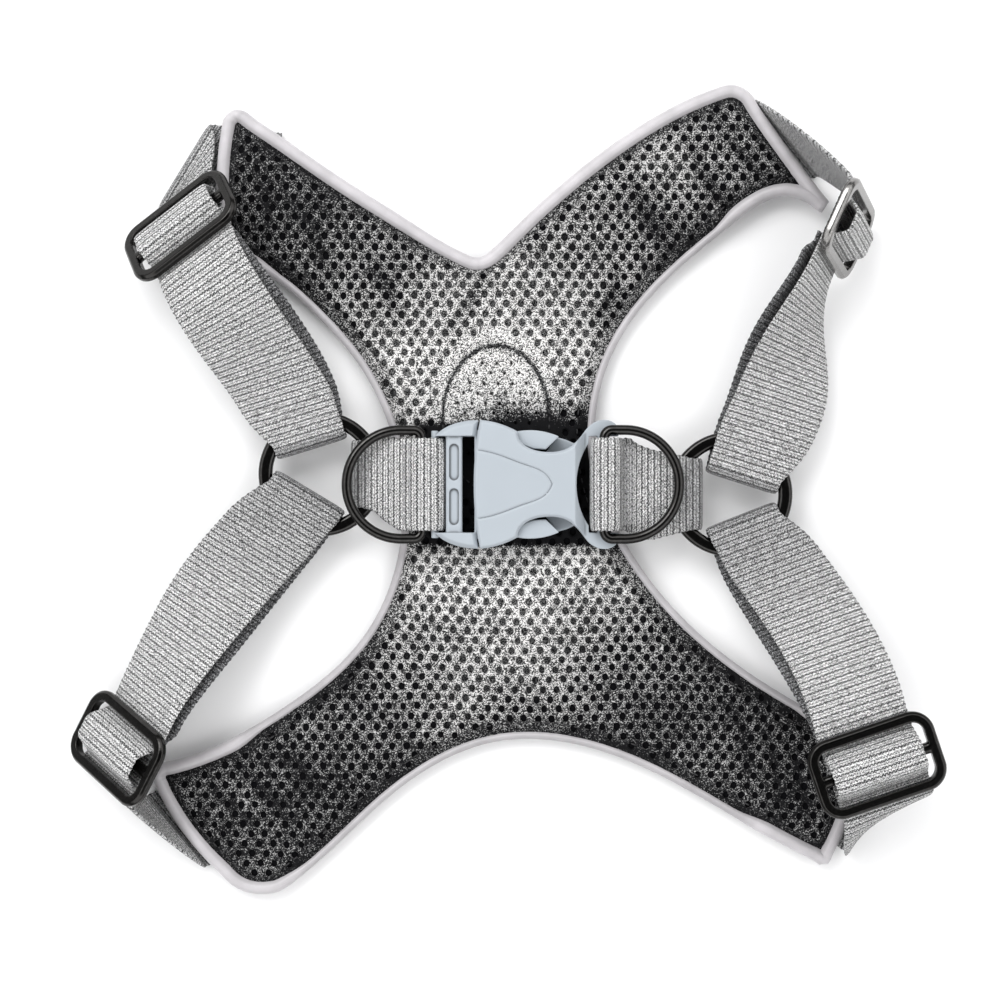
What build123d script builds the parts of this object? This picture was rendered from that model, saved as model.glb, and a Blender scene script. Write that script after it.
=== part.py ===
from build123d import *
import math
import os

# A no pull dog harness lying flat, its padded chest plate with the inner face up and its buckle closed.
# Millimetres. X runs across the dog, Y along it towards the neck, Z up from the floor.

# webbing and hardware
WEB_HALF = 12.5
WEB_THICK = 1.3
RING_INNER = 13.2
RING_BAND = 3.8
RING_THICK = 3.0
RING_Z = 7.5
RING_ROUND = 1.2
WRAP = 2.45
SLIDE_LENGTH = 34.6
SLIDE_WIDTH = 21.5
SLIDE_BAR = 2.8
SLIDE_CENTRE_BAR = 3.0
SLIDE_THICK = 2.6
SLIDE_CORNER = 6.0
D_WIRE = 2.7
D_HALF = 14.65
D_DEPTH = 20.3

# chest plate
SHELL_BOTTOM = 1.4
SHELL_TOP = 2.2
FOAM_TOP = 5.2
MESH_TOP = 6.2
LAYER_GAP = 0.05
PIPING = 3.8
PIPING_BOTTOM = 1.9
BADGE_CENTRE = (-3.5, 19.0)
BADGE_HALF = (14.6, 20.0)
BADGE_THICK = 1.35

# side release buckle
BUCKLE_Y = 1.1
BUCKLE_Z = 11.2
BUCKLE_HALF = 17.3
PLUG_END = -21.0
PLUG_HALF_THICK = 3.9
END_BAR = 1.9
GRIP_BAR = (-17.0, -12.6)
PLUG_FRONT = (-9.3, -5.6)
MOUTH = -9.5
MOUTH_CORNER = -7.8
WALL_END = -0.6
WINDOW_END = 17.3
SOCKET_HALF_THICK = 4.75
CAVITY_HALF = 14.9
CAVITY_HALF_THICK = 2.85
TAIL_SLOT = (18.1, 23.9)
TAIL_BAR_END = 26.9
TAIL_END = 29.6
TAIL_HALF_THICK = 1.2
SLOT_HALF = 13.0
PRONG_PIVOT = (-6.6, 12.6)
PRONG_HALF_THICK = 2.5
PRONG_ROOT = 1.4

# where each ring lies, and the two D-ring bars
RING_LEFT = (-51.2, 4.0)
RING_RIGHT = (60.2, -1.5)
D_LEFT_BAR = (-23.6, BUCKLE_Z)
D_RIGHT_BAR = (25.6, 14.3)
D_LEFT_PITCH = 8.0
D_RIGHT_PITCH = -3.0

# Each body strap is sewn under an arm tip, folds outside it, threads its slide and loops its ring.
# slide: centre. heading: from slide to ring, degrees. pitch: ring side up. bank: left side up.
# tip: middle of the fold. fold: direction of the fold line towards the plate. tab: heading out of the plate.
# turn: how far the fold bends. ring_dir: heading out of the ring. ring_gap: from the ring's centre to the loop.
# ring_half: half width of the loop. ring_aside: how far the loop's middle lies to the right of ring_dir.
STRAPS = {
    "neck_strap_left": {
        "slide": (-88.6, 70.8, 13.0), "heading": -61.9, "pitch": 38.0, "bank": 12.0,
        "tip": (-89.4, 89.6), "fold": 58.6, "tab": 173.0, "turn": 172.0, "bend": 1.0,
        "ring": RING_LEFT, "ring_dir": 107.3, "ring_gap": 7.1, "ring_half": 9.9, "ring_aside": -0.15,
        "plate_side": 1, "bow": 4.0, "rise": (1.1, 0.8), "aside": 2.6,
    },
    "girth_strap_left": {
        "slide": (-105.3, -69.7, 14.0), "heading": 62.8, "pitch": 4.0, "bank": -39.0,
        "tip": (-92.2, -95.2), "fold": -50.0, "tab": 207.0, "turn": 92.0, "bend": 1.2,
        "ring": RING_LEFT, "ring_dir": 239.0, "ring_gap": 5.1, "ring_half": 10.9, "ring_aside": 0.0,
        "plate_side": -1, "bow": 5.0, "rise": (0.5, 0.15), "aside": 1.4,
    },
    "neck_strap_right": {
        "slide": (90.4, 69.0, 18.2), "heading": 245.7, "pitch": 0.0, "bank": -68.0,
        "tip": (76.8, 97.6), "fold": 129.8, "tab": 15.0, "turn": 88.0, "bend": 1.2,
        "ring": RING_RIGHT, "ring_dir": 72.2, "ring_gap": 3.6, "ring_half": 10.1, "ring_aside": 1.85,
        "plate_side": -1, "bow": 3.2, "rise": (0.5, 0.15), "aside": 1.0,
    },
    "girth_strap_right": {
        "slide": (96.2, -72.5, 27.0), "heading": 108.9, "pitch": 2.0, "bank": 0.0,
        "tip": (98.6, -88.6), "fold": 247.0, "tab": -30.0, "turn": 100.0, "bend": 1.6,
        "ring": RING_RIGHT, "ring_dir": -68.6, "ring_gap": 6.2, "ring_half": 10.1, "ring_aside": -0.5,
        "plate_side": 1, "bow": 5.2, "rise": (1.1, 0.8), "aside": 2.6,
    },
}
TAB_LENGTH = 24.0
TAB_Z = WEB_THICK / 2

UP = Vector(0, 0, 1)


def direction(degrees, z=0.0):
    """A horizontal unit vector at an angle from +X, or one that climbs by z degrees."""
    flat = math.cos(math.radians(z))
    angle = math.radians(degrees)
    return Vector(flat * math.cos(angle), flat * math.sin(angle), math.sin(math.radians(z)))


def smooth(t):
    """0 to 1 with level ends."""
    t = min(max(t, 0.0), 1.0)
    return t * t * (3 - 2 * t)


def steps(count):
    """count + 1 evenly spaced values from 0 to 1."""
    return [k / count for k in range(count + 1)]


# ---------------------------------------------------------------- webbing
# A station of webbing is (centre, half width towards its left edge, heading).


def ribbon(stations, thickness=WEB_THICK):
    """One closed solid of flat webbing through its stations."""
    wires = []
    for centre, half, heading in stations:
        lift = heading.cross(half).normalized() * (thickness / 2)
        corners = [centre + half + lift, centre - half + lift, centre - half - lift, centre + half - lift]
        wires.append(Wire.make_polygon(corners, close=True))
    return Solid.make_loft(wires, ruled=True)


def glide(start, end, pull, count, widths=None):
    """Stations on a smooth curve from one station to another, without the two ends."""
    (p0, h0, d0), (p1, h1, d1) = start, end
    found = []
    for t in steps(count)[1:-1]:
        a, b = 2 * t**3 - 3 * t**2 + 1, t**3 - 2 * t**2 + t
        c, d = -2 * t**3 + 3 * t**2, t**3 - t**2
        centre = p0 * a + d0 * (b * pull[0]) + p1 * c + d1 * (d * pull[1])
        a, b = 6 * t**2 - 6 * t, 3 * t**2 - 4 * t + 1
        c, d = -6 * t**2 + 6 * t, 3 * t**2 - 2 * t
        heading = (p0 * a + d0 * (b * pull[0]) + p1 * c + d1 * (d * pull[1])).normalized()
        half = h0 * (1 - smooth(t)) + h1 * smooth(t)
        width = widths(t) if widths else h0.length * (1 - t) + h1.length * t
        found.append((centre, half.normalized() * width, heading))
    return found


def slide_axes(spec):
    """The slide's unit vectors: towards the ring, to its left, and out of its upper face."""
    ahead = direction(spec["heading"], spec["pitch"])
    left = direction(spec["heading"] + 90)
    tilt = math.radians(spec["bank"])
    left = left * math.cos(tilt) + ahead.cross(left) * math.sin(tilt)
    return ahead, left, ahead.cross(left)


def weave(u):
    """Height of the strap over its slide at u, and its slope: under both outer bars, over the middle one."""
    under, over, foot, crown = -2.25, 3.75, 7.4, 2.2
    t = min(max((foot - abs(u)) / (foot - crown), 0.0), 1.0)
    slope = 6 * t * (1 - t) / (foot - crown) * (over - under)
    return under + (over - under) * smooth(t), -math.copysign(slope, u)


def weave_station(spec, u, below=0.0):
    """A station of the strap in the slide, or of a layer that lies below it by a distance."""
    ahead, left, out = slide_axes(spec)
    w, slope = weave(u)
    along = (ahead + out * slope).normalized()
    lift = along.cross(left)
    centre = Vector(*spec["slide"]) + ahead * u + out * w - lift * below
    return centre, left * WEB_HALF, along


def tip_stations(spec):
    """The sewn end under the arm tip and the fold outside it."""
    tab = direction(spec["tab"])
    fold = direction(spec["fold"])
    outward = direction(spec["fold"] + 90)
    if outward.dot(tab) < 0:
        outward = outward * -1
    half = fold * (spec["plate_side"] * WEB_HALF / tab.dot(outward))
    radius = spec["bend"]
    foot = Vector(*spec["tip"], TAB_Z) - outward * (radius + WEB_THICK / 2)
    square = tab.cross(UP).normalized()
    end_half = square * math.copysign(WEB_HALF, square.dot(half))
    found = [(foot - tab * TAB_LENGTH, end_half, tab), (foot - tab * 9.0, half, tab)]
    bend = math.radians(spec["turn"])
    for t in steps(8):
        a = bend * t
        centre = foot + outward * (radius * math.sin(a)) + UP * (radius * (1 - math.cos(a)))
        centre += fold * (radius * a * tab.dot(fold) / tab.dot(outward))
        heading = fold * tab.dot(fold) + (outward * math.cos(a) + UP * math.sin(a)) * tab.dot(outward)
        found.append((centre, half, heading.normalized()))
    return found


def ring_stations(spec):
    """The strap from just outside its ring to the middle of its loop, on top of the ring."""
    out = direction(spec["ring_dir"])
    left = UP.cross(out * -1)
    loop = Vector(*spec["ring"], RING_Z + WRAP) + left * spec["ring_aside"]
    loop += out * (spec["ring_gap"] + WRAP + WEB_THICK / 2)
    found = []
    for distance, share in ((12.0, 0.0), (8.0, 0.2), (4.0, 0.6), (0.0, 1.0)):
        half = WEB_HALF + (spec["ring_half"] - WEB_HALF) * share
        found.append((loop + out * distance, left * half, out * -1))
    return found


def turn_round(station, down, count=8):
    """A half turn of webbing from a station, towards its underside, to a layer 2 x WRAP below it."""
    centre, half, heading = station
    hub = centre - down * -WRAP
    found = []
    for t in steps(count)[1:]:
        a = math.pi * t
        spot = hub + heading * (WRAP * math.sin(a)) - down * (WRAP * math.cos(a))
        found.append((spot, half, (heading * math.cos(a) + down * math.sin(a)).normalized()))
    return found


def main_run(spec):
    """The upper layer from the slide to the ring."""
    start = weave_station(spec, 11.0)
    ring = ring_stations(spec)
    span = (ring[0][0] - start[0]).length
    run = [start] + glide(start, ring[0], (span * 0.9, span * 0.9), 12) + ring
    bowed = []
    for k, (centre, half, heading) in enumerate(run):
        push = spec["plate_side"] * spec["bow"] * math.sin(math.pi * (k / (len(run) - 1)) ** 1.3)
        bowed.append((centre - half.normalized() * push, half, heading))
    return bowed


def lower_layer(stations, near, far, shift):
    """The layer that lies under a run, from its far end back to its near end."""
    count = len(stations) - 1
    found = []
    for k in range(count, -1, -1):
        centre, half, heading = stations[k]
        t = k / count
        down = heading.cross(half).normalized() * -1
        aside = half.normalized() * (shift * math.sin(math.pi * t))
        depth = near + (far - near) * smooth(t)
        found.append((centre + down * depth + aside, half, heading * -1))
    return found


def flip(stations):
    """The same webbing seen heading the other way, its left edge kept on the same side."""
    return [(centre, half, heading * -1) for centre, half, heading in stations]


def centre_bar_wrap(spec):
    """From under the near bar round the middle bar and back out between the two layers."""
    ahead, left, out = slide_axes(spec)
    origin = Vector(*spec["slide"])
    turn = 2.3
    found = []
    for u, w in ((6.4, -4.75), (4.4, -3.85), (2.4, -2.95), (0.9, -2.4)):
        found.append((origin + ahead * u + out * w, left * WEB_HALF, (ahead * -1 + out * 0.42).normalized()))
    for t in steps(8):
        a = math.pi * t
        spot = origin - ahead * (turn * math.sin(a) + 0.1) - out * (turn * math.cos(a))
        found.append((spot, left * WEB_HALF, (ahead * -math.cos(a) + out * math.sin(a)).normalized()))
    for u in (2.0, 3.0, 4.0, 5.0, 6.0, 7.4, 9.4, 11.0):
        found.append(weave_station(spec, u, below=1.5))
    return found


def body_strap(spec):
    """A whole strap: sewn end, fold, slide, ring, and back to the middle bar of the slide."""
    tip = tip_stations(spec)
    entry = weave_station(spec, -10.6)
    span = (entry[0] - tip[-1][0]).length
    pull = spec["rise"]
    path = tip + glide(tip[-1], entry, (span * pull[0], span * pull[1]), 10) + [entry]
    path += [weave_station(spec, u) for u in (-9.0, -7.4, -6.5, -5.5, -4.5, -3.5, -2.2, 0.0)]
    path += [weave_station(spec, u) for u in (2.2, 3.5, 4.5, 5.5, 6.5, 7.4, 9.0)]
    run = main_run(spec)
    path += run
    path += turn_round(run[-1], UP * -1)
    back = lower_layer(run, 3.0, 2 * WRAP, spec["aside"] * spec["plate_side"])[1:]
    path += back
    path.append(flip([weave_station(spec, 9.0, below=3.0)])[0])
    wrap = centre_bar_wrap(spec)
    path += wrap
    return ribbon(path)


def loop_path(points):
    """Headings for a chain of (x, z) points, as stations of a strap that lies along X."""
    found = []
    last = len(points) - 1
    for k, (x, z, y, half) in enumerate(points):
        x0, z0 = points[max(k - 1, 0)][:2]
        x1, z1 = points[min(k + 1, last)][:2]
        heading = Vector(x1 - x0, 0, z1 - z0).normalized()
        found.append((Vector(x, y, z), Vector(0, half, 0), heading))
    return found


def arc(x, z, radius, start, end, count, y, half=WEB_HALF):
    """Points of a strap on an arc in the XZ plane."""
    found = []
    for t in steps(count):
        a = math.radians(start + (end - start) * t)
        found.append((x + radius * math.cos(a), z + radius * math.sin(a), y, half))
    return found


def back_strap_left():
    """The loop from the closed end of the plug to the left ring, with the D-ring bar between its layers."""
    ring_y = RING_LEFT[1]
    loop_x = RING_LEFT[0] + 8.1 + WEB_THICK / 2 + WRAP
    ring_half = 9.1
    top, low = RING_Z + WRAP, RING_Z - WRAP
    mid_y = (BUCKLE_Y + ring_y) / 2
    bar_x = PLUG_END + END_BAR / 2
    points = [(-28.7, 9.7, BUCKLE_Y, WEB_HALF), (-27.5, 10.3, BUCKLE_Y, WEB_HALF)]
    points += [(-25.6, 9.2, BUCKLE_Y, WEB_HALF), (-23.6, 8.8, BUCKLE_Y, WEB_HALF)]
    points += arc(bar_x, BUCKLE_Z, 2.25, -90, 90, 10, BUCKLE_Y)
    points += [(-21.8, 13.5, BUCKLE_Y, WEB_HALF), (-23.6, 13.55, BUCKLE_Y, WEB_HALF)]
    points += [(-25.2, 13.1, BUCKLE_Y, WEB_HALF), (-26.3, 12.4, BUCKLE_Y, WEB_HALF)]
    points += [(-28.7, 11.6, BUCKLE_Y, WEB_HALF), (-30.5, 11.2, BUCKLE_Y + 0.4, 12.3)]
    points += [(-33.0, 10.5, mid_y, 11.8), (-36.5, top, ring_y, 10.4)]
    points += arc(loop_x, RING_Z, WRAP, 90, 270, 10, ring_y, ring_half)
    points += [(-36.5, low, ring_y, 10.4), (-34.2, low + 0.1, mid_y, 11.4)]
    points += [(-32.2, 6.5, mid_y, 11.8), (-30.4, 8.3, BUCKLE_Y, 12.2), (-29.1, 9.5, BUCKLE_Y, WEB_HALF)]
    return ribbon(loop_path(points))


def back_strap_right():
    """The loop from the socket's tail bar to the right ring, over the D-ring bar."""
    ring_y = RING_RIGHT[1]
    loop_x = RING_RIGHT[0] - 7.4 - WEB_THICK / 2 - WRAP
    ring_half = 9.7
    top, low = RING_Z + WRAP, RING_Z - WRAP
    mid_y = (BUCKLE_Y + ring_y) / 2
    bar_x = (TAIL_SLOT[1] + TAIL_BAR_END) / 2
    points = [(33.4, 8.1, mid_y, WEB_HALF), (31.2, 8.75, BUCKLE_Y, WEB_HALF)]
    points += [(28.8, 8.85, BUCKLE_Y, WEB_HALF), (27.0, 8.7, BUCKLE_Y, WEB_HALF)]
    points += arc(bar_x - 0.4, BUCKLE_Z, 2.45, 270, 180, 6, BUCKLE_Y)
    points += arc(bar_x + 0.25, 13.7, 3.1, 180, 90, 6, BUCKLE_Y)
    points += arc(26.6, 13.6, 3.2, 90, 42, 4, BUCKLE_Y)
    points += [(29.7, 13.4, BUCKLE_Y, WEB_HALF), (30.6, 11.5, BUCKLE_Y, WEB_HALF)]
    points += [(32.8, 10.4, BUCKLE_Y, WEB_HALF), (34.6, 10.0, mid_y, WEB_HALF), (38.0, 10.0, ring_y, 12.4)]
    points += [(43.5, top, ring_y, 11.2)]
    points += arc(loop_x, RING_Z, WRAP, 90, -90, 10, ring_y, ring_half)
    points += [(43.5, low + 0.1, ring_y, 11.2), (38.0, 6.4, ring_y, 12.4)]
    points += [(34.0, 7.85, mid_y, WEB_HALF)]
    return ribbon(loop_path(points))


def bar_tack(x, z, slope, y):
    """Two rows of thread across a strap, each stitch its own short bead."""
    stitches = []
    pitch, length, height = 1.7, 1.1, 0.3
    for row in (-0.8, 0.8):
        for k in range(-6, 7):
            bead = Box(0.5, length, height)
            spot = Location((x, y, z), (0, -slope, 0)) * Location((row, k * pitch, height / 2 + 0.03))
            stitches.append(spot * bead)
    return Compound(children=stitches)


# ---------------------------------------------------------------- hardware


def slide():
    """A one-piece three-bar slide, its length along Y and its ring side towards +X."""
    frame = extrude(RectangleRounded(SLIDE_WIDTH, SLIDE_LENGTH, SLIDE_CORNER), SLIDE_THICK / 2, both=True)
    length = SLIDE_LENGTH - 2 * SLIDE_BAR
    opening = RectangleRounded(SLIDE_WIDTH - 2 * SLIDE_BAR, length, SLIDE_CORNER - SLIDE_BAR)
    frame = chamfer(frame.edges().group_by(Axis.Z)[-1] + frame.edges().group_by(Axis.Z)[0], 0.7)
    bar = Box(SLIDE_CENTRE_BAR, length + 1.0, SLIDE_THICK)
    bar = fillet(bar.edges().filter_by(Axis.Y), 1.1)
    frame = frame - extrude(opening, SLIDE_THICK, both=True)
    return frame + bar


def placed_slide(spec):
    """A slide on its strap."""
    ahead, _, out = slide_axes(spec)
    return Plane(origin=spec["slide"], x_dir=ahead, z_dir=out).location * slide()


def o_ring(centre):
    """A flat ring with rounded edges."""
    middle = RING_INNER + RING_BAND / 2
    section = Plane.XZ * (Pos(middle, 0) * RectangleRounded(RING_BAND, RING_THICK, RING_ROUND))
    return Pos(*centre, RING_Z) * revolve(section, Axis.Z)


def d_ring(bar, pitch, side):
    """A welded D of round wire, its bar along Y and its bow towards side along X."""
    straight = D_DEPTH - D_HALF
    bend = 2.2
    path = FilletPolyline((straight, D_HALF), (0, D_HALF), (0, -D_HALF), (straight, -D_HALF), radius=bend)
    bow = ThreePointArc((straight, -D_HALF), (D_DEPTH, 0), (straight, D_HALF))
    whole = Wire(path.edges() + [bow])
    start = Plane(origin=(straight, D_HALF, 0), x_dir=(0, 0, 1), z_dir=(-1, 0, 0))
    body = sweep(start * Circle(D_WIRE / 2), path=whole)
    turn = 180 if side < 0 else 0
    return Location((bar[0], BUCKLE_Y, bar[1]), (0, -pitch * side, 0)) * Rot(0, 0, turn) * body


# ---------------------------------------------------------------- buckle


def mirrored_face(points, closing):
    """A flat face between a chain of edges above the centre line, its mirror image, and a closing chain."""
    lower = mirror(points, Plane.XZ)
    return make_face(points + lower + closing)


def plug_base():
    """The plug's outline: rounded shoulders at the strap end and an arc where it meets the socket."""
    shoulder = Spline((-8.2, BUCKLE_HALF), (-12.6, 16.9), (-16.9, 15.4), (-19.8, 13.1), (PLUG_END, 10.2))
    closing = Line((PLUG_END, 10.2), (PLUG_END, -10.2))
    closing += ThreePointArc((-8.2, BUCKLE_HALF), (-9.9, 0), (-8.2, -BUCKLE_HALF))
    return mirrored_face(shoulder, closing)


def buckle_plug():
    """The plug: shoulders joined by the strap bar, the grip bar and the front bar that carries the prongs."""
    base = extrude(plug_base(), PLUG_HALF_THICK, both=True)
    base = chamfer(base.edges().group_by(Axis.Z)[-1] + base.edges().group_by(Axis.Z)[0], 1.1)
    base -= Pos(PLUG_END, 0, 0) * Box(24.0, 2 * SLOT_HALF, 20)
    bar = Pos(PLUG_END + END_BAR / 2, 0, 0) * Box(END_BAR, 2 * SLOT_HALF + 3.0, 2.6)
    base += fillet(bar.edges().filter_by(Axis.Y), 0.9)
    grip = Box(GRIP_BAR[1] - GRIP_BAR[0], 2 * SLOT_HALF + 1.0, 4.6)
    base += Pos(sum(GRIP_BAR) / 2, 0, 0.6) * chamfer(grip.edges().filter_by(Axis.Y), 0.5)
    front = Pos(sum(PLUG_FRONT) / 2, 0) * Rectangle(PLUG_FRONT[1] - PLUG_FRONT[0], 2 * CAVITY_HALF - 0.6)
    base += extrude(front, PRONG_HALF_THICK, both=True)
    for side in (-1, 1):
        recess = Pos(sum(GRIP_BAR) / 2, side * 6.0) * SlotOverall(9.9, 2.6, rotation=90)
        base -= Pos(0, 0, 2.0) * extrude(recess, 2.0)
        seat = Pos(PRONG_PIVOT[0], side * PRONG_PIVOT[1]) * Circle(PRONG_ROOT + 0.35)
        lane = Pos(PRONG_PIVOT[0] + 1.2, side * PRONG_PIVOT[1]) * Rectangle(2.4, 4.6)
        base -= extrude(seat + lane, PRONG_HALF_THICK + 0.1, both=True)
    tongue = Pos((PLUG_FRONT[1] + 8.0) / 2 - 0.5, 0, 0) * Box(9.0 - PLUG_FRONT[1], 4.6, 3.6)
    return Pos(0, BUCKLE_Y, BUCKLE_Z) * (base + tongue)


def buckle_prong(side):
    """A sprung prong with its release tab, from its root in the plug."""
    x, y = PRONG_PIVOT
    edge = Line((x, y - 1.3), (x, y + 1.3)) + Line((x, y + 1.3), (1.6, 14.2))
    edge += Spline((1.6, 14.2), (7.6, 14.5), (13.5, 12.9))
    edge += Polyline((13.5, 12.9), (9.9, 9.4), (6.5, 9.6), (3.6, 10.7), (1.0, 11.9), (x, y - 1.3))
    flat = make_face(edge) + Pos(x, y) * Circle(PRONG_ROOT)
    body = extrude(flat, PRONG_HALF_THICK, both=True)
    if side < 0:
        body = mirror(body, Plane.XZ)
    return Pos(0, BUCKLE_Y, BUCKLE_Z) * body


def socket_outline():
    """The socket from above: bulging mouth, waist beside the prong tabs, and a flared tail."""
    edge = Spline((MOUTH_CORNER, BUCKLE_HALF), (-4.4, 16.8), (-1.1, 15.8), (2.3, 14.2))
    edge += Spline((2.3, 14.2), (3.1, 11.6), (5.8, 9.6), (10.9, 8.7), (14.8, 9.3), (17.5, 11.0))
    edge += Spline((17.5, 11.0), (19.5, 13.1), (21.8, 15.9), (25.0, 17.4), (28.0, 16.9), (TAIL_END, 14.6))
    closing = Line((TAIL_END, 14.6), (TAIL_END, -14.6))
    closing += ThreePointArc((MOUTH_CORNER, BUCKLE_HALF), (MOUTH, 0), (MOUTH_CORNER, -BUCKLE_HALF))
    return mirrored_face(edge, closing)


def window_sill(side):
    """The lower deck where it shows beyond the tip of a prong's tab."""
    sill = Polyline((9.5, 8.0), (13.0, 12.9), (15.6, 12.2), (17.8, 11.2), (17.8, 8.0), (9.5, 8.0))
    body = Pos(0, 0, -SOCKET_HALF_THICK) * extrude(make_face(sill), SOCKET_HALF_THICK - CAVITY_HALF_THICK)
    return mirror(body, Plane.XZ) if side < 0 else body


def panel_groove(offset):
    """The inside of the engraved line on the socket's deck, or of its outer edge at an offset."""
    half = Spline((-14, 9.3 + offset), (-3.4, 8.1 + offset), (4.2, 5.3 + offset), (9.6, 2.9 + offset), (11.5 + offset, 0))
    return mirrored_face(half, Line((-14, 9.3 + offset), (-14, -9.3 - offset)))


def buckle_socket():
    """The socket: two decks joined by the mouth's side walls and the tail, which carries the strap bar."""
    body = extrude(socket_outline(), SOCKET_HALF_THICK, both=True)
    body = chamfer(body.edges().group_by(Axis.Z)[-1] + body.edges().group_by(Axis.Z)[0], 0.7)
    wedge = Polyline((WINDOW_END + 0.4, 10), (WINDOW_END + 0.4, SOCKET_HALF_THICK), (20.5, TAIL_HALF_THICK))
    wedge += Polyline((20.5, TAIL_HALF_THICK), (40, TAIL_HALF_THICK), (40, 10), (WINDOW_END + 0.4, 10))
    cut = extrude(Plane.XZ * make_face(wedge), 30, both=True)
    body -= cut
    body -= mirror(cut, Plane.XY)
    cavity = Box(WINDOW_END - MOUTH + 2, 2 * CAVITY_HALF, 2 * CAVITY_HALF_THICK)
    body -= Pos((MOUTH - 2 + WINDOW_END) / 2, 0, 0) * cavity
    body -= Pos((WALL_END + WINDOW_END) / 2, 0, 0) * Box(WINDOW_END - WALL_END, 60, 2 * CAVITY_HALF_THICK)
    slot = ThreePointArc((23.0, SLOT_HALF), (TAIL_SLOT[0], 0), (23.0, -SLOT_HALF))
    slot = make_face(slot + Line((23.0, SLOT_HALF), (23.0, -SLOT_HALF)))
    slot += Pos(TAIL_SLOT[1] - 1.2, 0) * Rectangle(2.4, 2 * SLOT_HALF)
    body -= extrude(slot, 10, both=True)
    body -= Pos((TAIL_BAR_END + TAIL_END) / 2 + 1, 0, 0) * Box(TAIL_END - TAIL_BAR_END + 2, 2 * SLOT_HALF, 20)
    groove = panel_groove(0.3) - panel_groove(-0.3)
    body -= Pos(0, 0, SOCKET_HALF_THICK - 0.4) * extrude(groove, 1.0)
    for side in (-1, 1):
        body += window_sill(side)
    return Pos(0, BUCKLE_Y, BUCKLE_Z) * body


# ---------------------------------------------------------------- chest plate


def plate_outline():
    """The plate's outer edge: four arms, two leg cut-outs, a notched neck edge and a hollow belly edge."""
    neck_left = Spline((-8.5, 63.1), (-17.5, 67.5), (-27.7, 73.8), (-45.3, 84.8), (-62.8, 96.8), (-70.5, 102.0))
    corner_1 = ThreePointArc((-70.5, 102.0), (-75.6, 103.9), (-78.7, 99.8))
    tip_1 = ThreePointArc((-78.7, 99.8), (-80.3, 84.8), (-79.0, 68.3))
    corner_2 = ThreePointArc((-79.0, 68.3), (-77.9, 64.6), (-74.4, 62.4))
    leg_left = Spline(
        (-74.4, 62.4), (-62.3, 56.0), (-53.8, 48.5), (-43.6, 37.3), (-36.2, 25.2), (-29.7, 2.0),
        (-32.4, -25.8), (-42.2, -43.5), (-60.9, -59.5), (-77.0, -69.0), (-93.0, -74.8),
    )
    corner_3 = ThreePointArc((-93.0, -74.8), (-97.2, -76.8), (-97.3, -81.0))
    tip_2 = ThreePointArc((-97.3, -81.0), (-89.8, -93.9), (-79.2, -105.6))
    corner_4 = ThreePointArc((-79.2, -105.6), (-71.5, -110.9), (-62.8, -110.4))
    belly = Spline(
        (-62.8, -110.4), (-48.0, -98.6), (-33.2, -84.9), (-3.5, -69.5), (26.1, -72.3), (55.8, -86.6), (84.1, -102.2),
    )
    corner_5 = ThreePointArc((84.1, -102.2), (86.9, -103.4), (88.4, -101.2))
    tip_3 = ThreePointArc((88.4, -101.2), (93.9, -88.8), (97.2, -73.1))
    corner_6 = ThreePointArc((97.2, -73.1), (96.7, -68.6), (92.6, -65.9))
    leg_right = Spline(
        (92.6, -65.9), (76.4, -57.2), (51.7, -39.3), (34.9, -19.6), (24.5, 5.1), (28.6, 37.4),
        (40.7, 54.6), (62.1, 73.2), (74.0, 80.0), (84.0, 77.2),
    )
    corner_7 = ThreePointArc((84.0, 77.2), (87.6, 76.4), (87.2, 79.6))
    tip_4 = ThreePointArc((87.2, 79.6), (78.2, 91.3), (68.1, 105.6))
    corner_8 = ThreePointArc((68.1, 105.6), (65.0, 109.6), (59.6, 110.8))
    neck_right = Spline((59.6, 110.8), (51.4, 107.8), (33.8, 98.2), (16.2, 85.0), (-0.2, 69.9), (-6.0, 64.6), (-8.5, 63.1))
    edges = [neck_left, corner_1, tip_1, corner_2, leg_left, corner_3, tip_2, corner_4, belly]
    edges += [corner_5, tip_3, corner_6, leg_right, corner_7, tip_4, corner_8, neck_right]
    return Wire(edges)


def inset_outline(inset, spacing=2.5):
    """The plate's edge moved inwards, as points, without the loops that tight corners would leave."""
    edge, moved = [], []
    for piece in plate_outline().edges():
        count = max(2, round(piece.length / spacing))
        for t in steps(count)[:-1]:
            spot, heading = piece.position_at(t), piece.tangent_at(t)
            edge.append(spot)
            moved.append(spot + UP.cross(heading) * inset)
    return [p for p in moved if min((p - q).length for q in edge) > inset * 0.985]


def inset_face(inset):
    """A flat face inside the inset edge."""
    points = inset_outline(inset)
    return make_face(Polyline(*points, close=True))


def plate_layer(inset, bottom, top):
    """One layer of the plate, inset from its outer edge."""
    return Pos(0, 0, bottom) * extrude(inset_face(inset), top - bottom, dir=(0, 0, 1))


def edge_piping():
    """The bound edge, a closed band round the plate."""
    band = Face(plate_outline()) - inset_face(PIPING)
    return Pos(0, 0, PIPING_BOTTOM) * extrude(band, PIPING, dir=(0, 0, 1))


def outer_badge():
    """The blank oval patch sewn to the outer face, which lies on the floor."""
    return Pos(*BADGE_CENTRE, 0) * extrude(Ellipse(*BADGE_HALF), BADGE_THICK)


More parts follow.
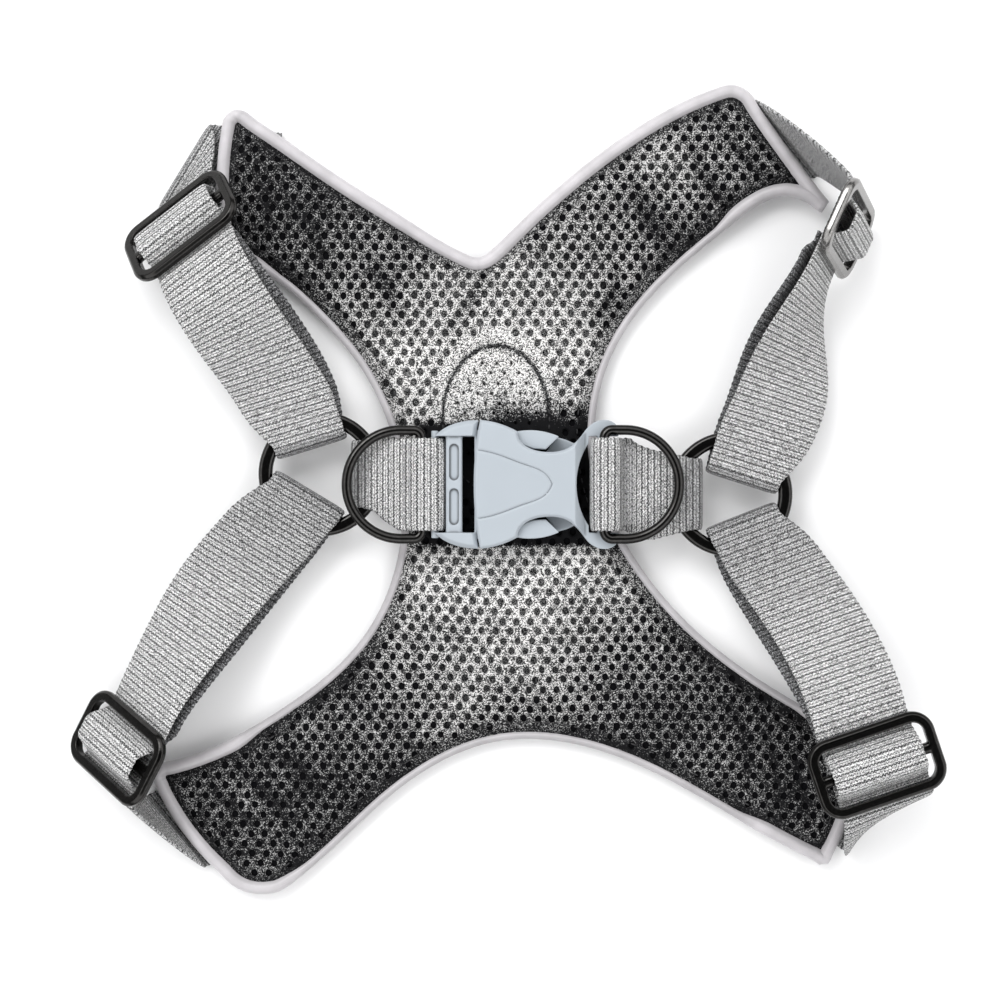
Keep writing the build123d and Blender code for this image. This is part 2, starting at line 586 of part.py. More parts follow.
def build():
    """Every sub-part by node name, placed."""
    inset = PIPING + LAYER_GAP
    parts = {
        "outer_badge": outer_badge(),
        "outer_shell": plate_layer(inset, SHELL_BOTTOM, SHELL_TOP),
        "foam_core": plate_layer(inset, SHELL_TOP + LAYER_GAP, FOAM_TOP),
        "mesh_lining": plate_layer(inset, FOAM_TOP + LAYER_GAP, MESH_TOP),
        "edge_piping": edge_piping(),
        "o_ring_left": o_ring(RING_LEFT),
        "o_ring_right": o_ring(RING_RIGHT),
        "d_ring_left": d_ring(D_LEFT_BAR, D_LEFT_PITCH, -1),
        "d_ring_right": d_ring(D_RIGHT_BAR, D_RIGHT_PITCH, 1),
        "back_strap_left": back_strap_left(),
        "back_strap_right": back_strap_right(),
        "back_stitching_left": bar_tack(-27.5, 12.69, 18.4, BUCKLE_Y),
        "back_stitching_right": bar_tack(32.45, 11.36, -25.9, BUCKLE_Y),
        "buckle_plug": buckle_plug(),
        "buckle_prong_upper": buckle_prong(1),
        "buckle_prong_lower": buckle_prong(-1),
        "buckle_socket": buckle_socket(),
    }
    for name, spec in STRAPS.items():
        parts[name] = body_strap(spec)
        parts[name.replace("strap", "slide")] = placed_slide(spec)
    return parts


def main():
    """Write one STEP per sub-part, with the origin under the middle of the whole harness."""
    parts = build()
    boxes = [part.bounding_box() for part in parts.values()]
    low = [min(tuple(box.min)[k] for box in boxes) for k in range(3)]
    high = [max(tuple(box.max)[k] for box in boxes) for k in range(3)]
    shift = Vector(-(low[0] + high[0]) / 2, -(low[1] + high[1]) / 2, -low[2])
    print("shift", tuple(shift), "size", [round(b - a, 2) for a, b in zip(low, high)])
    os.makedirs("parts", exist_ok=True)
    for name, part in parts.items():
        export_step(Location(shift) * part, f"parts/{name}.step")
    return shift


if __name__ == "__main__":
    main()
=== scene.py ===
"""Looks of the no pull harness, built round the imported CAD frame. Lengths in the code are millimetres."""

import math
import random

import bmesh
import bpy
import numpy as np
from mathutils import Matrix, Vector, noise
from mathutils.geometry import delaunay_2d_cdt


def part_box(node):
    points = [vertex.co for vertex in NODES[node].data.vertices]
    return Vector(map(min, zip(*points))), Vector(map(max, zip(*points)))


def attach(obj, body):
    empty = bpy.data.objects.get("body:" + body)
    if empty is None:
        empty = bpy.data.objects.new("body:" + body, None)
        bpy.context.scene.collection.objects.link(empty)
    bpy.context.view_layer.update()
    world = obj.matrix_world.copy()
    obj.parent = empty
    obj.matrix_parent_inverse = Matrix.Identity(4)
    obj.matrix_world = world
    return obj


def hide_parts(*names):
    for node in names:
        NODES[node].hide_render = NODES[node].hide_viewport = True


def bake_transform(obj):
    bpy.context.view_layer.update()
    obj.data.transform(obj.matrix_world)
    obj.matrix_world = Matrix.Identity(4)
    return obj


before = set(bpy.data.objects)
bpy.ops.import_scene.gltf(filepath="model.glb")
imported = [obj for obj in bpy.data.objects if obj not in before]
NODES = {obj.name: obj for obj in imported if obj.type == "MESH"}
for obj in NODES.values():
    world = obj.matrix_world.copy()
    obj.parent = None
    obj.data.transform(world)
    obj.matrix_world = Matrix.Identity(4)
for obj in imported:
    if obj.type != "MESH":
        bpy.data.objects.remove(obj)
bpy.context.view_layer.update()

# ------------------------------------------------------------ the CAD's own sizes
WEB_HALF = 12.5
WEB_THICK = 1.3
RING_Z = 7.5
WRAP = 2.45
RING_LEFT = (-51.2, 4.0)
RING_RIGHT = (60.2, -1.5)
BUCKLE_Y = 1.1
BUCKLE_Z = 11.2
PIPING_R = 1.9
PIPING_Z = 3.8
BADGE_CENTRE = (-3.5, 19.0)
BADGE_HALF = (14.6, 20.0)
BADGE_THICK = 1.35
TAB_LENGTH = 24.0
TAB_Z = WEB_THICK / 2
RIB_PITCH = 1.73
UP = Vector((0, 0, 1))

STRAPS = {
    "neck_strap_left": {
        "slide": (-88.6, 70.8, 13.0), "heading": -61.9, "pitch": 38.0, "bank": 12.0,
        "tip": (-89.4, 89.6), "fold": 58.6, "tab": 173.0, "turn": 172.0, "bend": 1.0,
        "ring": RING_LEFT, "ring_dir": 107.3, "ring_gap": 7.1, "ring_half": 9.9, "ring_aside": -0.15,
        "plate_side": 1, "bow": 4.0, "rise": (1.1, 0.8), "aside": 2.6,
    },
    "girth_strap_left": {
        "slide": (-105.3, -69.7, 14.0), "heading": 62.8, "pitch": 4.0, "bank": -39.0,
        "tip": (-92.2, -95.2), "fold": -50.0, "tab": 207.0, "turn": 92.0, "bend": 1.2,
        "ring": RING_LEFT, "ring_dir": 239.0, "ring_gap": 5.1, "ring_half": 10.9, "ring_aside": 0.0,
        "plate_side": -1, "bow": 5.0, "rise": (0.5, 0.15), "aside": 1.4,
    },
    "neck_strap_right": {
        "slide": (90.4, 69.0, 18.2), "heading": 245.7, "pitch": 0.0, "bank": -68.0,
        "tip": (76.8, 97.6), "fold": 129.8, "tab": 15.0, "turn": 88.0, "bend": 1.2,
        "ring": RING_RIGHT, "ring_dir": 72.2, "ring_gap": 3.6, "ring_half": 10.1, "ring_aside": 1.85,
        "plate_side": -1, "bow": 3.2, "rise": (0.5, 0.15), "aside": 1.0,
    },
    "girth_strap_right": {
        "slide": (96.2, -72.5, 27.0), "heading": 108.9, "pitch": 2.0, "bank": 0.0,
        "tip": (98.6, -88.6), "fold": 247.0, "tab": -30.0, "turn": 100.0, "bend": 1.6,
        "ring": RING_RIGHT, "ring_dir": -68.6, "ring_gap": 6.2, "ring_half": 10.1, "ring_aside": -0.5,
        "plate_side": 1, "bow": 5.2, "rise": (1.1, 0.8), "aside": 2.6,
    },
}

low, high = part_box("o_ring_left")
SHIFT = np.array((low + high) / 2) * 1000 - np.array((*RING_LEFT, RING_Z))


# ------------------------------------------------------------ small helpers


def metres(points):
    """Points in the part's own millimetres, as points of the frame in metres."""
    return (np.asarray(points, float).reshape(-1, 3) + SHIFT) / 1000


def direction(degrees, z=0.0):
    """A unit vector at an angle from +X in the floor's plane, raised by z degrees."""
    flat = math.cos(math.radians(z))
    angle = math.radians(degrees)
    return Vector((flat * math.cos(angle), flat * math.sin(angle), math.sin(math.radians(z))))


def smooth(t):
    """0 below 0, 1 above 1, and an even S between them."""
    t = np.clip(t, 0.0, 1.0)
    return t * t * (3 - 2 * t)


def steps(count):
    """Fractions from 0 to 1, both included."""
    return [k / count for k in range(count + 1)]


def drift(points, scale, level):
    """Soft noise at each flat point: scale is how quickly it changes, level picks one pattern."""
    return np.array([noise.noise(Vector((x * scale, y * scale, level))) for x, y in points])


def skin(rows, count, closed=False):
    """Quads between rows of points, count to a row, round each row and along the rows."""
    faces = []
    for i in range(rows if closed else rows - 1):
        n = (i + 1) % rows
        for j in range(count):
            k = (j + 1) % count
            faces.append((i * count + j, i * count + k, n * count + k, n * count + j))
    return faces


def moved(faces, base):
    """The same faces for points that start at base."""
    return [tuple(base + v for v in f) for f in faces]


def link(thing):
    bpy.context.scene.collection.objects.link(thing)
    return thing


def fill_ramp(ramp, stops):
    """Set a colour ramp from (position, grey or colour) stops."""
    elements = ramp.color_ramp.elements
    while len(elements) < len(stops):
        elements.new(0.5)
    for element, (position, tint) in zip(elements, stops):
        element.position = position
        element.color = tint if isinstance(tint, tuple) else (tint, tint, tint, 1)


def new_piece(name, points, faces, body, replaces=(), material=None, uv=None, painted_shades=None):
    """A mesh piece from points in the part's millimetres, riding on a body unless body is None."""
    mesh = bpy.data.meshes.new(name)
    mesh.from_pydata(metres(points).tolist(), [], [list(f) for f in faces])
    mesh.update()
    mesh.polygons.foreach_set("use_smooth", [True] * len(mesh.polygons))
    if painted_shades is not None:
        layer = mesh.attributes.new("painted_shading", "FLOAT", "POINT")
        layer.data.foreach_set("value", np.asarray(painted_shades, np.float32))
    if uv is not None:
        layer = mesh.uv_layers.new(name="UVMap")
        corner = np.zeros(len(mesh.loops), np.int32)
        mesh.loops.foreach_get("vertex_index", corner)
        layer.data.foreach_set("uv", np.asarray(uv, np.float32)[corner].ravel())
    piece = link(bpy.data.objects.new(name, mesh))
    if material:
        mesh.materials.append(material)
    if replaces:
        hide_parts(*replaces)
    if body:
        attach(piece, body)
    return piece


# ------------------------------------------------------------ materials


class Shade:
    """A material's node tree under construction. Inputs are named, or i0, i1 and so on by number."""

    def __init__(self, name, **principled):
        self.material = bpy.data.materials.new(name)
        self.material.use_nodes = True
        self.tree = self.material.node_tree
        self.bsdf = self.tree.nodes["Principled BSDF"]
        for key, value in principled.items():
            self.bsdf.inputs[key.replace("_", " ")].default_value = value

    def node(self, kind, settings=None, **inputs):
        made = self.tree.nodes.new(kind)
        for key, value in (settings or {}).items():
            setattr(made, key, value)
        for key, value in inputs.items():
            slot = made.inputs[int(key[1:])] if key[0] == "i" and key[1:].isdigit() else made.inputs[key]
            self.put(slot, value)
        return made

    def put(self, slot, value):
        if isinstance(value, bpy.types.NodeSocket):
            self.tree.links.new(value, slot)
        else:
            slot.default_value = value

    def math(self, operation, a, b=0.0):
        return self.node("ShaderNodeMath", {"operation": operation}, i0=a, i1=b).outputs[0]

    def plus(self, a, b):
        return self.math("ADD", a, b)

    def minus(self, a, b):
        return self.math("SUBTRACT", a, b)

    def times(self, a, b):
        return self.math("MULTIPLY", a, b)

    def mix(self, factor, a, b):
        made = self.node("ShaderNodeMix", {"data_type": "RGBA"})
        self.put(made.inputs["Factor"], factor)
        self.put(made.inputs[6], a)
        self.put(made.inputs[7], b)
        return made.outputs[2]

    def ramp(self, factor, *stops):
        made = self.node("ShaderNodeValToRGB")
        self.put(made.inputs[0], factor)
        fill_ramp(made, stops)
        return made.outputs[0]

    def where(self):
        """Object coordinates in millimetres."""
        found = self.node("ShaderNodeTexCoord").outputs["Object"]
        return self.node("ShaderNodeVectorMath", {"operation": "SCALE"}, i0=found, Scale=1000.0).outputs[0]

    def noise(self, vector, scale, detail=2.0, roughness=0.5):
        made = self.node("ShaderNodeTexNoise", Vector=vector, Scale=scale, Detail=detail, Roughness=roughness)
        return made.outputs[0]

    def twill(self, vector, bands, **inputs):
        """Parallel threads across an axis or on the diagonal."""
        made = self.node("ShaderNodeTexWave", {"wave_type": "BANDS", "bands_direction": bands},
                         Vector=vector, **inputs)
        return made.outputs["Fac"]

    def attribute(self, name):
        return self.node("ShaderNodeAttribute", {"attribute_name": name}).outputs["Fac"]

    def bump(self, height, strength, distance, below=None):
        """A bump of a height in millimetres, over another one where below is given."""
        made = self.node("ShaderNodeBump", Height=height, Strength=strength, Distance=distance / 1000)
        if below is not None:
            self.put(made.inputs["Normal"], below)
        return made.outputs[0]

    def done(self, colour, normal):
        """Give the shader its colour and bump, and return the material."""
        self.put(self.bsdf.inputs["Base Color"], colour)
        self.put(self.bsdf.inputs["Normal"], normal)
        return self.material


def webbing_material():
    """Ribbed webbing: light ribs across it, with fine dark dashes between them in brick order, and painted
    shade where the strap's shading value is high.
    """
    s = Shade("webbing", Roughness=0.7, Sheen_Weight=0.1, Sheen_Roughness=0.4, Specular_IOR_Level=0.25)
    uv = s.node("ShaderNodeUVMap", {"uv_map": "UVMap"}).outputs[0]
    parts = s.node("ShaderNodeSeparateXYZ", Vector=uv)
    across, along = parts.outputs[0], parts.outputs[1]
    wobble = s.times(s.minus(s.noise(uv, 0.9, 2.0), 0.5), 0.22)
    grain = s.noise(s.where(), 2.7, 3.0, 0.8)
    loose = s.minus(grain, 0.5)

    def dashes(offset, width, reach, share):
        """A row of dashes in each rib: how thick the row is, how wide its cells are and how full."""
        rib = s.plus(s.plus(s.math("DIVIDE", along, RIB_PITCH), wobble), offset)
        half = s.times(s.math("MODULO", s.math("ABSOLUTE", s.math("FLOOR", rib)), 2.0), 0.5)
        cell = s.math("FRACT", s.plus(s.plus(s.math("DIVIDE", across, reach), half), wobble))
        near = s.math("ABSOLUTE", s.minus(s.math("FRACT", rib), 0.5))
        side = s.math("ABSOLUTE", s.minus(cell, 0.5))
        row = s.node("ShaderNodeMapRange", {"interpolation_type": "SMOOTHSTEP"}, Value=near)
        s.put(row.inputs["From Min"], s.plus(0.5 - width, s.times(loose, 0.35)))
        s.put(row.inputs["From Max"], s.plus(0.56 - width, s.times(loose, 0.35)))
        spot = s.node("ShaderNodeMapRange", {"interpolation_type": "SMOOTHSTEP"}, Value=side)
        s.put(spot.inputs["From Min"], s.plus(share + 0.06, s.times(loose, 0.4)))
        s.put(spot.inputs["From Max"], s.plus(share - 0.06, s.times(loose, 0.4)))
        return row.outputs[0], spot.outputs[0]

    main_row, main_spot = dashes(0.0, 0.20, 1.0, 0.31)
    fine_row, fine_spot = dashes(0.5, 0.15, 0.86, 0.27)
    dark = s.times(main_row, s.plus(0.30, s.times(main_spot, 0.70)))
    dark = s.math("MAXIMUM", dark, s.times(s.times(fine_row, fine_spot), 0.80))
    light = s.ramp(grain, (0.40, 0.12), (0.50, 0.52), (0.58, 0.88))
    # painted shade: a high shading value mixes the light yarn towards near black and leaves a few pale specks
    # in it
    painted_shading = s.attribute("painted_shading")
    shaded = s.mix(s.times(painted_shading, 0.86), light, (0.03, 0.031, 0.034, 1))
    speck = s.ramp(grain, (0.53, 0.0), (0.60, 1.0))
    shaded = s.mix(s.times(s.times(painted_shading, 0.7), speck), shaded, (0.62, 0.62, 0.64, 1))
    colour = s.mix(s.times(dark, 0.96), shaded, (0.008, 0.008, 0.009, 1))
    return s.done(colour, s.bump(s.minus(1.0, dark), 0.8, 0.16, s.bump(grain, 0.4, 0.14)))


def net_material():
    """Open air mesh: salt and pepper yarn, with painted light and shade: where the shading value is high more
    yarn shows pale and both yarns are lighter, where it is low they are darker.
    """
    s = Shade("air_mesh", Roughness=0.85, Specular_IOR_Level=0.1)
    where = s.where()
    painted_shading = s.attribute("painted_shading")
    cells = s.node("ShaderNodeTexVoronoi", {"feature": "F1"}, Vector=where, Scale=4.0, Randomness=1.0)
    pick = s.node("ShaderNodeSeparateColor", Color=cells.outputs["Color"]).outputs[0]
    fine = s.noise(where, 3.4, 2.0, 0.7)
    cloud = s.noise(where, 0.22, 3.0, 0.6)
    score = s.plus(s.times(pick, 0.62), s.times(fine, 0.5))
    score = s.plus(score, s.times(cloud, 0.26))
    cut = s.minus(0.82, s.times(painted_shading, 0.25))
    light = s.node("ShaderNodeMapRange", Value=score)
    s.put(light.inputs["From Min"], cut)
    s.put(light.inputs["From Max"], s.plus(cut, 0.19))
    # painted light: both yarn colours grow lighter with the shading value
    dark = s.mix(painted_shading, (0.008, 0.008, 0.009, 1), (0.045, 0.045, 0.045, 1))
    pale = s.mix(painted_shading, (0.42, 0.42, 0.42, 1), (0.80, 0.79, 0.78, 1))
    return s.done(s.mix(light.outputs[0], dark, pale), s.bump(score, 0.6, 0.2))


def under_mesh_material():
    """The dark layer seen through the holes, its grain painted lighter where the lining's painted light is
    high.
    """
    s = Shade("under_mesh", Roughness=1.0, Specular_IOR_Level=0.0)
    painted_shading = s.attribute("painted_shading")
    grain = s.noise(s.where(), 4.0, 2.0, 0.7)
    lit = s.times(s.ramp(grain, (0.50, 0.0), (0.62, 1.0)), s.ramp(painted_shading, (0.45, 0.0), (1.0, 0.85)))
    return s.done(s.mix(lit, (0.006, 0.006, 0.007, 1), (0.40, 0.40, 0.40, 1)), s.bump(grain, 0.5, 0.2))


def piping_material():
    """Pale satin tape: fine diagonal twill, soft cloudy variation, and painted shade where its shading value
    is high.
    """
    s = Shade("piping_satin", Roughness=0.42, Sheen_Weight=0.35, Sheen_Roughness=0.3, Specular_IOR_Level=0.45)
    where = s.where()
    twill = s.twill(where, "DIAGONAL", Scale=0.9, Distortion=1.2, Detail=1.0)
    cloud = s.noise(where, 0.16, 3.0)
    base = s.ramp(cloud, (0.3, (0.44, 0.425, 0.44, 1)), (0.7, (0.55, 0.53, 0.55, 1)))
    painted_shading = s.attribute("painted_shading")
    # painted shade: darker where the shading value is high
    base = s.mix(s.times(painted_shading, 0.8), base, (0.16, 0.155, 0.16, 1))
    colour = s.mix(s.times(twill, 0.10), base, (0.42, 0.41, 0.42, 1))
    return s.done(colour, s.bump(twill, 0.22, 0.06, s.bump(s.noise(where, 1.6, 3.0), 0.25, 0.15)))


def shell_material():
    """Plain woven cloth of the outer face."""
    s = Shade("shell_cloth", Roughness=0.8, Sheen_Weight=0.3, Sheen_Roughness=0.4)
    where = s.where()
    warp, weft = (s.twill(where, axis, Scale=0.75, Distortion=0.6, Detail=1.0) for axis in ("X", "Y"))
    cross = s.times(warp, weft)
    cloud = s.noise(where, 0.12, 3.0)
    base = s.ramp(cloud, (0.3, (0.030, 0.031, 0.035, 1)), (0.7, (0.050, 0.051, 0.056, 1)))
    return s.done(s.mix(s.times(cross, 0.6), base, (0.11, 0.11, 0.12, 1)), s.bump(cross, 0.6, 0.12))


def plastic_material(name, colour, roughness, grain_height):
    """Moulded plastic with a faint mould texture, slightly uneven gloss, and painted shade in its grooves and
    inner corners.
    """
    s = Shade(name, Specular_IOR_Level=0.5)
    where = s.where()
    fine = s.noise(where, 5.5, 3.0, 0.6)
    cloud = s.noise(where, 0.09, 2.0)
    darker = tuple(c * 0.93 for c in colour)
    # painted shade: grooves and inner corners darkened towards a sixth of the colour
    groove_shade = s.times(s.attribute("painted_shading"), 0.85)
    groove_shade_colour = tuple(c * 0.16 for c in colour)
    s.put(s.bsdf.inputs["Roughness"], s.plus(roughness, s.times(fine, 0.08)))
    colour = s.mix(groove_shade, s.mix(cloud, (*darker, 1), (*colour, 1)), (*groove_shade_colour, 1))
    return s.done(colour, s.bump(fine, 0.25, grain_height))


def metal_material(name, colour, roughness):
    """Dark plated metal with faint polish marks, lighter in patches where the marks are strong."""
    s = Shade(name, Metallic=1.0)
    where = s.where()
    marks = s.noise(where, 1.3, 4.0, 0.65)
    worn = tuple(c * 2.2 for c in colour)
    s.put(s.bsdf.inputs["Roughness"], s.plus(roughness, s.times(marks, 0.10)))
    colour = s.mix(s.ramp(marks, (0.5, 0.0), (0.8, 0.6)), (*colour, 1), (*worn, 1))
    return s.done(colour, s.bump(s.noise(where, 3.0, 3.0), 0.08, 0.04))


def thread_material(name, colour):
    """Twisted sewing thread."""
    s = Shade(name, Roughness=0.6, Specular_IOR_Level=0.15)
    twist = s.twill(s.where(), "DIAGONAL", Scale=2.2, Distortion=0.5)
    return s.done(s.mix(twist, (*(c * 0.6 for c in colour), 1), (*colour, 1)), s.bump(twist, 0.4, 0.05))


def patch_material():
    """Matt rubber with a fine grain."""
    s = Shade("patch_rubber", Roughness=0.55)
    grain = s.noise(s.where(), 3.5, 3.0)
    return s.done(s.mix(grain, (0.020, 0.020, 0.022, 1), (0.045, 0.045, 0.048, 1)), s.bump(grain, 0.3, 0.08))


WEBBING = webbing_material()
NET = net_material()
UNDER = under_mesh_material()
SATIN = piping_material()
SHELL = shell_material()
BUCKLE = plastic_material("buckle_plastic", (0.40, 0.44, 0.48), 0.38, 0.03)
BLACK = metal_material("black_plated", (0.035, 0.034, 0.033), 0.12)
# the black plating in a brighter copy: a painted reflection for the upper right slide
BLACK_PAINTED_REFLECTION = metal_material("black_plated_painted_reflection", (0.22, 0.215, 0.21), 0.16)
RING_BLACK = metal_material("black_ring", (0.04, 0.039, 0.038), 0.12)
THREAD = thread_material("thread_grey", (0.42, 0.42, 0.43))
DARK_THREAD = thread_material("thread_dark", (0.05, 0.05, 0.052))
PATCH = patch_material()

# ------------------------------------------------------------ webbing
SLIDE_EXIT = 11.0
LAYER_STEP = 1.55
SLACK = 3.0
ACROSS = [1, 0.985, 0.95, 0.88, 0.74, 0.55, 0.36, 0.18, 0]
ACROSS += [-v for v in reversed(ACROSS[:-1])]
SECTION = [(v, 1) for v in ACROSS] + [(v, -1) for v in reversed(ACROSS[1:-1])]

# A station of webbing is (centre, vector to its left edge, heading). A shading value of 0 leaves the webbing
# light, 1 paints it in full shade.


def glide(start, end, pull, count):
    """Stations on a smooth curve from one station to another, without the two ends."""
    (p0, h0, d0), (p1, h1, d1) = start, end
    found = []
    for t in steps(count)[1:-1]:
        a, b = 2 * t**3 - 3 * t**2 + 1, t**3 - 2 * t**2 + t
        c, d = -2 * t**3 + 3 * t**2, t**3 - t**2
        centre = p0 * a + d0 * (b * pull[0]) + p1 * c + d1 * (d * pull[1])
        a, b = 6 * t**2 - 6 * t, 3 * t**2 - 4 * t + 1
        c, d = -6 * t**2 + 6 * t, 3 * t**2 - 2 * t
        heading = (p0 * a + d0 * (b * pull[0]) + p1 * c + d1 * (d * pull[1])).normalized()
        half = h0 * (1 - smooth(t)) + h1 * smooth(t)
        found.append((centre, half.normalized() * (h0.length * (1 - t) + h1.length * t), heading))
    return found


def slide_axes(spec):
    """The slide's unit vectors: towards the ring, to its left, and out of its upper face."""
    ahead = direction(spec["heading"], spec["pitch"])
    left = direction(spec["heading"] + 90)
    tilt = math.radians(spec["bank"])
    left = left * math.cos(tilt) + ahead.cross(left) * math.sin(tilt)
    return ahead, left, ahead.cross(left)


def weave(u):
    """Height of the strap over its slide at u: under both outer bars, over the middle one."""
    under, over, foot, crown = -2.25, 3.75, 7.4, 2.2
    t = min(max((foot - abs(u)) / (foot - crown), 0.0), 1.0)
    return under + (over - under) * smooth(t)


def in_slide(spec, u, w, half=WEB_HALF):
    """A station at u along the slide and w above its middle."""
    ahead, left, out = slide_axes(spec)
    return Vector(spec["slide"]) + ahead * u + out * w, left * half, ahead


def tip_stations(spec):
    """The sewn end under the arm tip and the fold outside it."""
    tab = direction(spec["tab"])
    fold = direction(spec["fold"])
    outward = direction(spec["fold"] + 90)
    if outward.dot(tab) < 0:
        outward = outward * -1
    half = fold * (spec["plate_side"] * WEB_HALF / tab.dot(outward))
    radius = spec["bend"]
    foot = Vector((*spec["tip"], TAB_Z)) - outward * (radius + WEB_THICK / 2)
    square = tab.cross(UP).normalized()
    end_half = square * math.copysign(WEB_HALF, square.dot(half))
    found = [(foot - tab * TAB_LENGTH, end_half, tab), (foot - tab * 9.0, half, tab)]
    bend = math.radians(spec["turn"])
    for t in steps(8):
        a = bend * t
        centre = foot + outward * (radius * math.sin(a)) + UP * (radius * (1 - math.cos(a)))
        centre += fold * (radius * a * tab.dot(fold) / tab.dot(outward))
        heading = fold * tab.dot(fold) + (outward * math.cos(a) + UP * math.sin(a)) * tab.dot(outward)
        found.append((centre, half, heading.normalized()))
    return found


def ring_stations(spec):
    """Stations from just outside its ring to the middle of its loop, on top of the ring."""
    out = direction(spec["ring_dir"])
    left = UP.cross(out * -1)
    loop = Vector((*spec["ring"], RING_Z + WRAP)) + left * spec["ring_aside"]
    loop += out * (spec["ring_gap"] + WRAP + WEB_THICK / 2)
    found = []
    for distance, share in ((12.0, 0.0), (8.0, 0.2), (4.0, 0.6), (0.0, 1.0)):
        half = WEB_HALF + (spec["ring_half"] - WEB_HALF) * share
        found.append((loop + out * distance, left * half, out * -1))
    return found


def main_run(spec):
    """The upper layer from the slide to the ring."""
    start = in_slide(spec, SLIDE_EXIT, weave(SLIDE_EXIT))
    ring = ring_stations(spec)
    span = (ring[0][0] - start[0]).length
    run = [start] + glide(start, ring[0], (span * 0.9, span * 0.9), 12) + ring
    bowed = []
    for k, (centre, half, heading) in enumerate(run):
        push = spec["plate_side"] * spec["bow"] * math.sin(math.pi * (k / (len(run) - 1)) ** 1.3)
        bowed.append((centre - half.normalized() * push, half, heading))
    return bowed


def return_layer(spec, run):
    """The half turn in the ring and the lower layer back to the slide."""
    centre, half, heading = run[-1]
    found = []
    for t in steps(10)[1:]:
        a = math.pi * t
        spot = centre - UP * WRAP + heading * (WRAP * math.sin(a)) + UP * (WRAP * math.cos(a))
        found.append((spot, half, heading * math.cos(a) - UP * math.sin(a)))
    count = len(run) - 1
    for k in range(count - 1, -1, -1):
        centre, half, heading = run[k]
        t = k / count
        down = heading.cross(half).normalized() * -1
        aside = half.normalized() * (spec["aside"] * spec["plate_side"] * math.sin(math.pi * t))
        depth = SLACK + (2 * WRAP - SLACK) * float(smooth(t))
        found.append((centre + down * depth + aside, half, heading * -1))
    for u in (8.5, 5.5):
        found.append(in_slide(spec, u, weave(SLIDE_EXIT) - LAYER_STEP, WEB_HALF - 0.4))
    return found


def resampled(stations, painted_shades, spacing):
    """Dense centres, half vectors, painted shade values and arc lengths on a smooth line through the
    stations.
    """
    centre = np.array([list(s[0]) for s in stations])
    half = np.array([list(s[1]) for s in stations])
    painted_shades = np.asarray(painted_shades, float)
    gap = np.maximum(np.linalg.norm(np.diff(centre, axis=0), axis=1), 1e-3)
    at = np.concatenate([[0], np.cumsum(gap)])
    slope = np.gradient(centre, at, axis=0)
    count = int(at[-1] / spacing)
    where = np.linspace(0, at[-1], count + 1)
    k = np.clip(np.searchsorted(at, where, side="right") - 1, 0, len(at) - 2)
    width = (at[k + 1] - at[k])[:, None]
    t = (where - at[k])[:, None] / width
    p0, p1, m0, m1 = centre[k], centre[k + 1], slope[k] * width, slope[k + 1] * width
    dense = (2 * t**3 - 3 * t**2 + 1) * p0 + (t**3 - 2 * t**2 + t) * m0
    dense += (-2 * t**3 + 3 * t**2) * p1 + (t**3 - t**2) * m1
    spread = half[k] * (1 - t) + half[k + 1] * t
    painted_shading = painted_shades[k] * (1 - t[:, 0]) + painted_shades[k + 1] * t[:, 0]
    length = np.concatenate([[0], np.cumsum(np.linalg.norm(np.diff(dense, axis=0), axis=1))])
    return dense, spread, painted_shading, length


def webbing(name, stations, painted_shades, body, replaces=()):
    """A strap of ribbed webbing with rounded, scalloped edges."""
    dense, spread, painted_shading, length = resampled(stations, painted_shades, RIB_PITCH / 4)
    heading = np.gradient(dense, axis=0)
    up = np.cross(heading, spread)
    up /= np.linalg.norm(up, axis=1)[:, None]
    wave = np.cos(2 * math.pi * length / RIB_PITCH)
    points, uv, colour = [], [], []
    for v, side in SECTION:
        edge = abs(v) ** 9
        half_thick = WEB_THICK / 2 * math.sqrt(max(1 - edge * abs(v) ** 3, 0.0))
        ripple = 0.055 * wave * (1 - edge)
        scallop = 1 + 0.010 * wave * edge
        offset = side * (half_thick + ripple)
        points.append(dense + spread * (v * scallop)[:, None] + up * offset[:, None])
        uv.append(np.stack([np.full_like(length, v * WEB_HALF), length], axis=1))
        colour.append(painted_shading)
    count, rows = len(SECTION), len(dense)
    points = np.stack(points, axis=1).reshape(-1, 3)
    uv = np.stack(uv, axis=1).reshape(-1, 2)
    colour = np.stack(colour, axis=1).ravel()
    faces = skin(rows, count)
    faces.append(tuple(range(count - 1, -1, -1)))
    faces.append(tuple((rows - 1) * count + j for j in range(count)))
    return new_piece(name, points, [f[::-1] for f in faces], body, replaces, WEBBING, uv, colour)


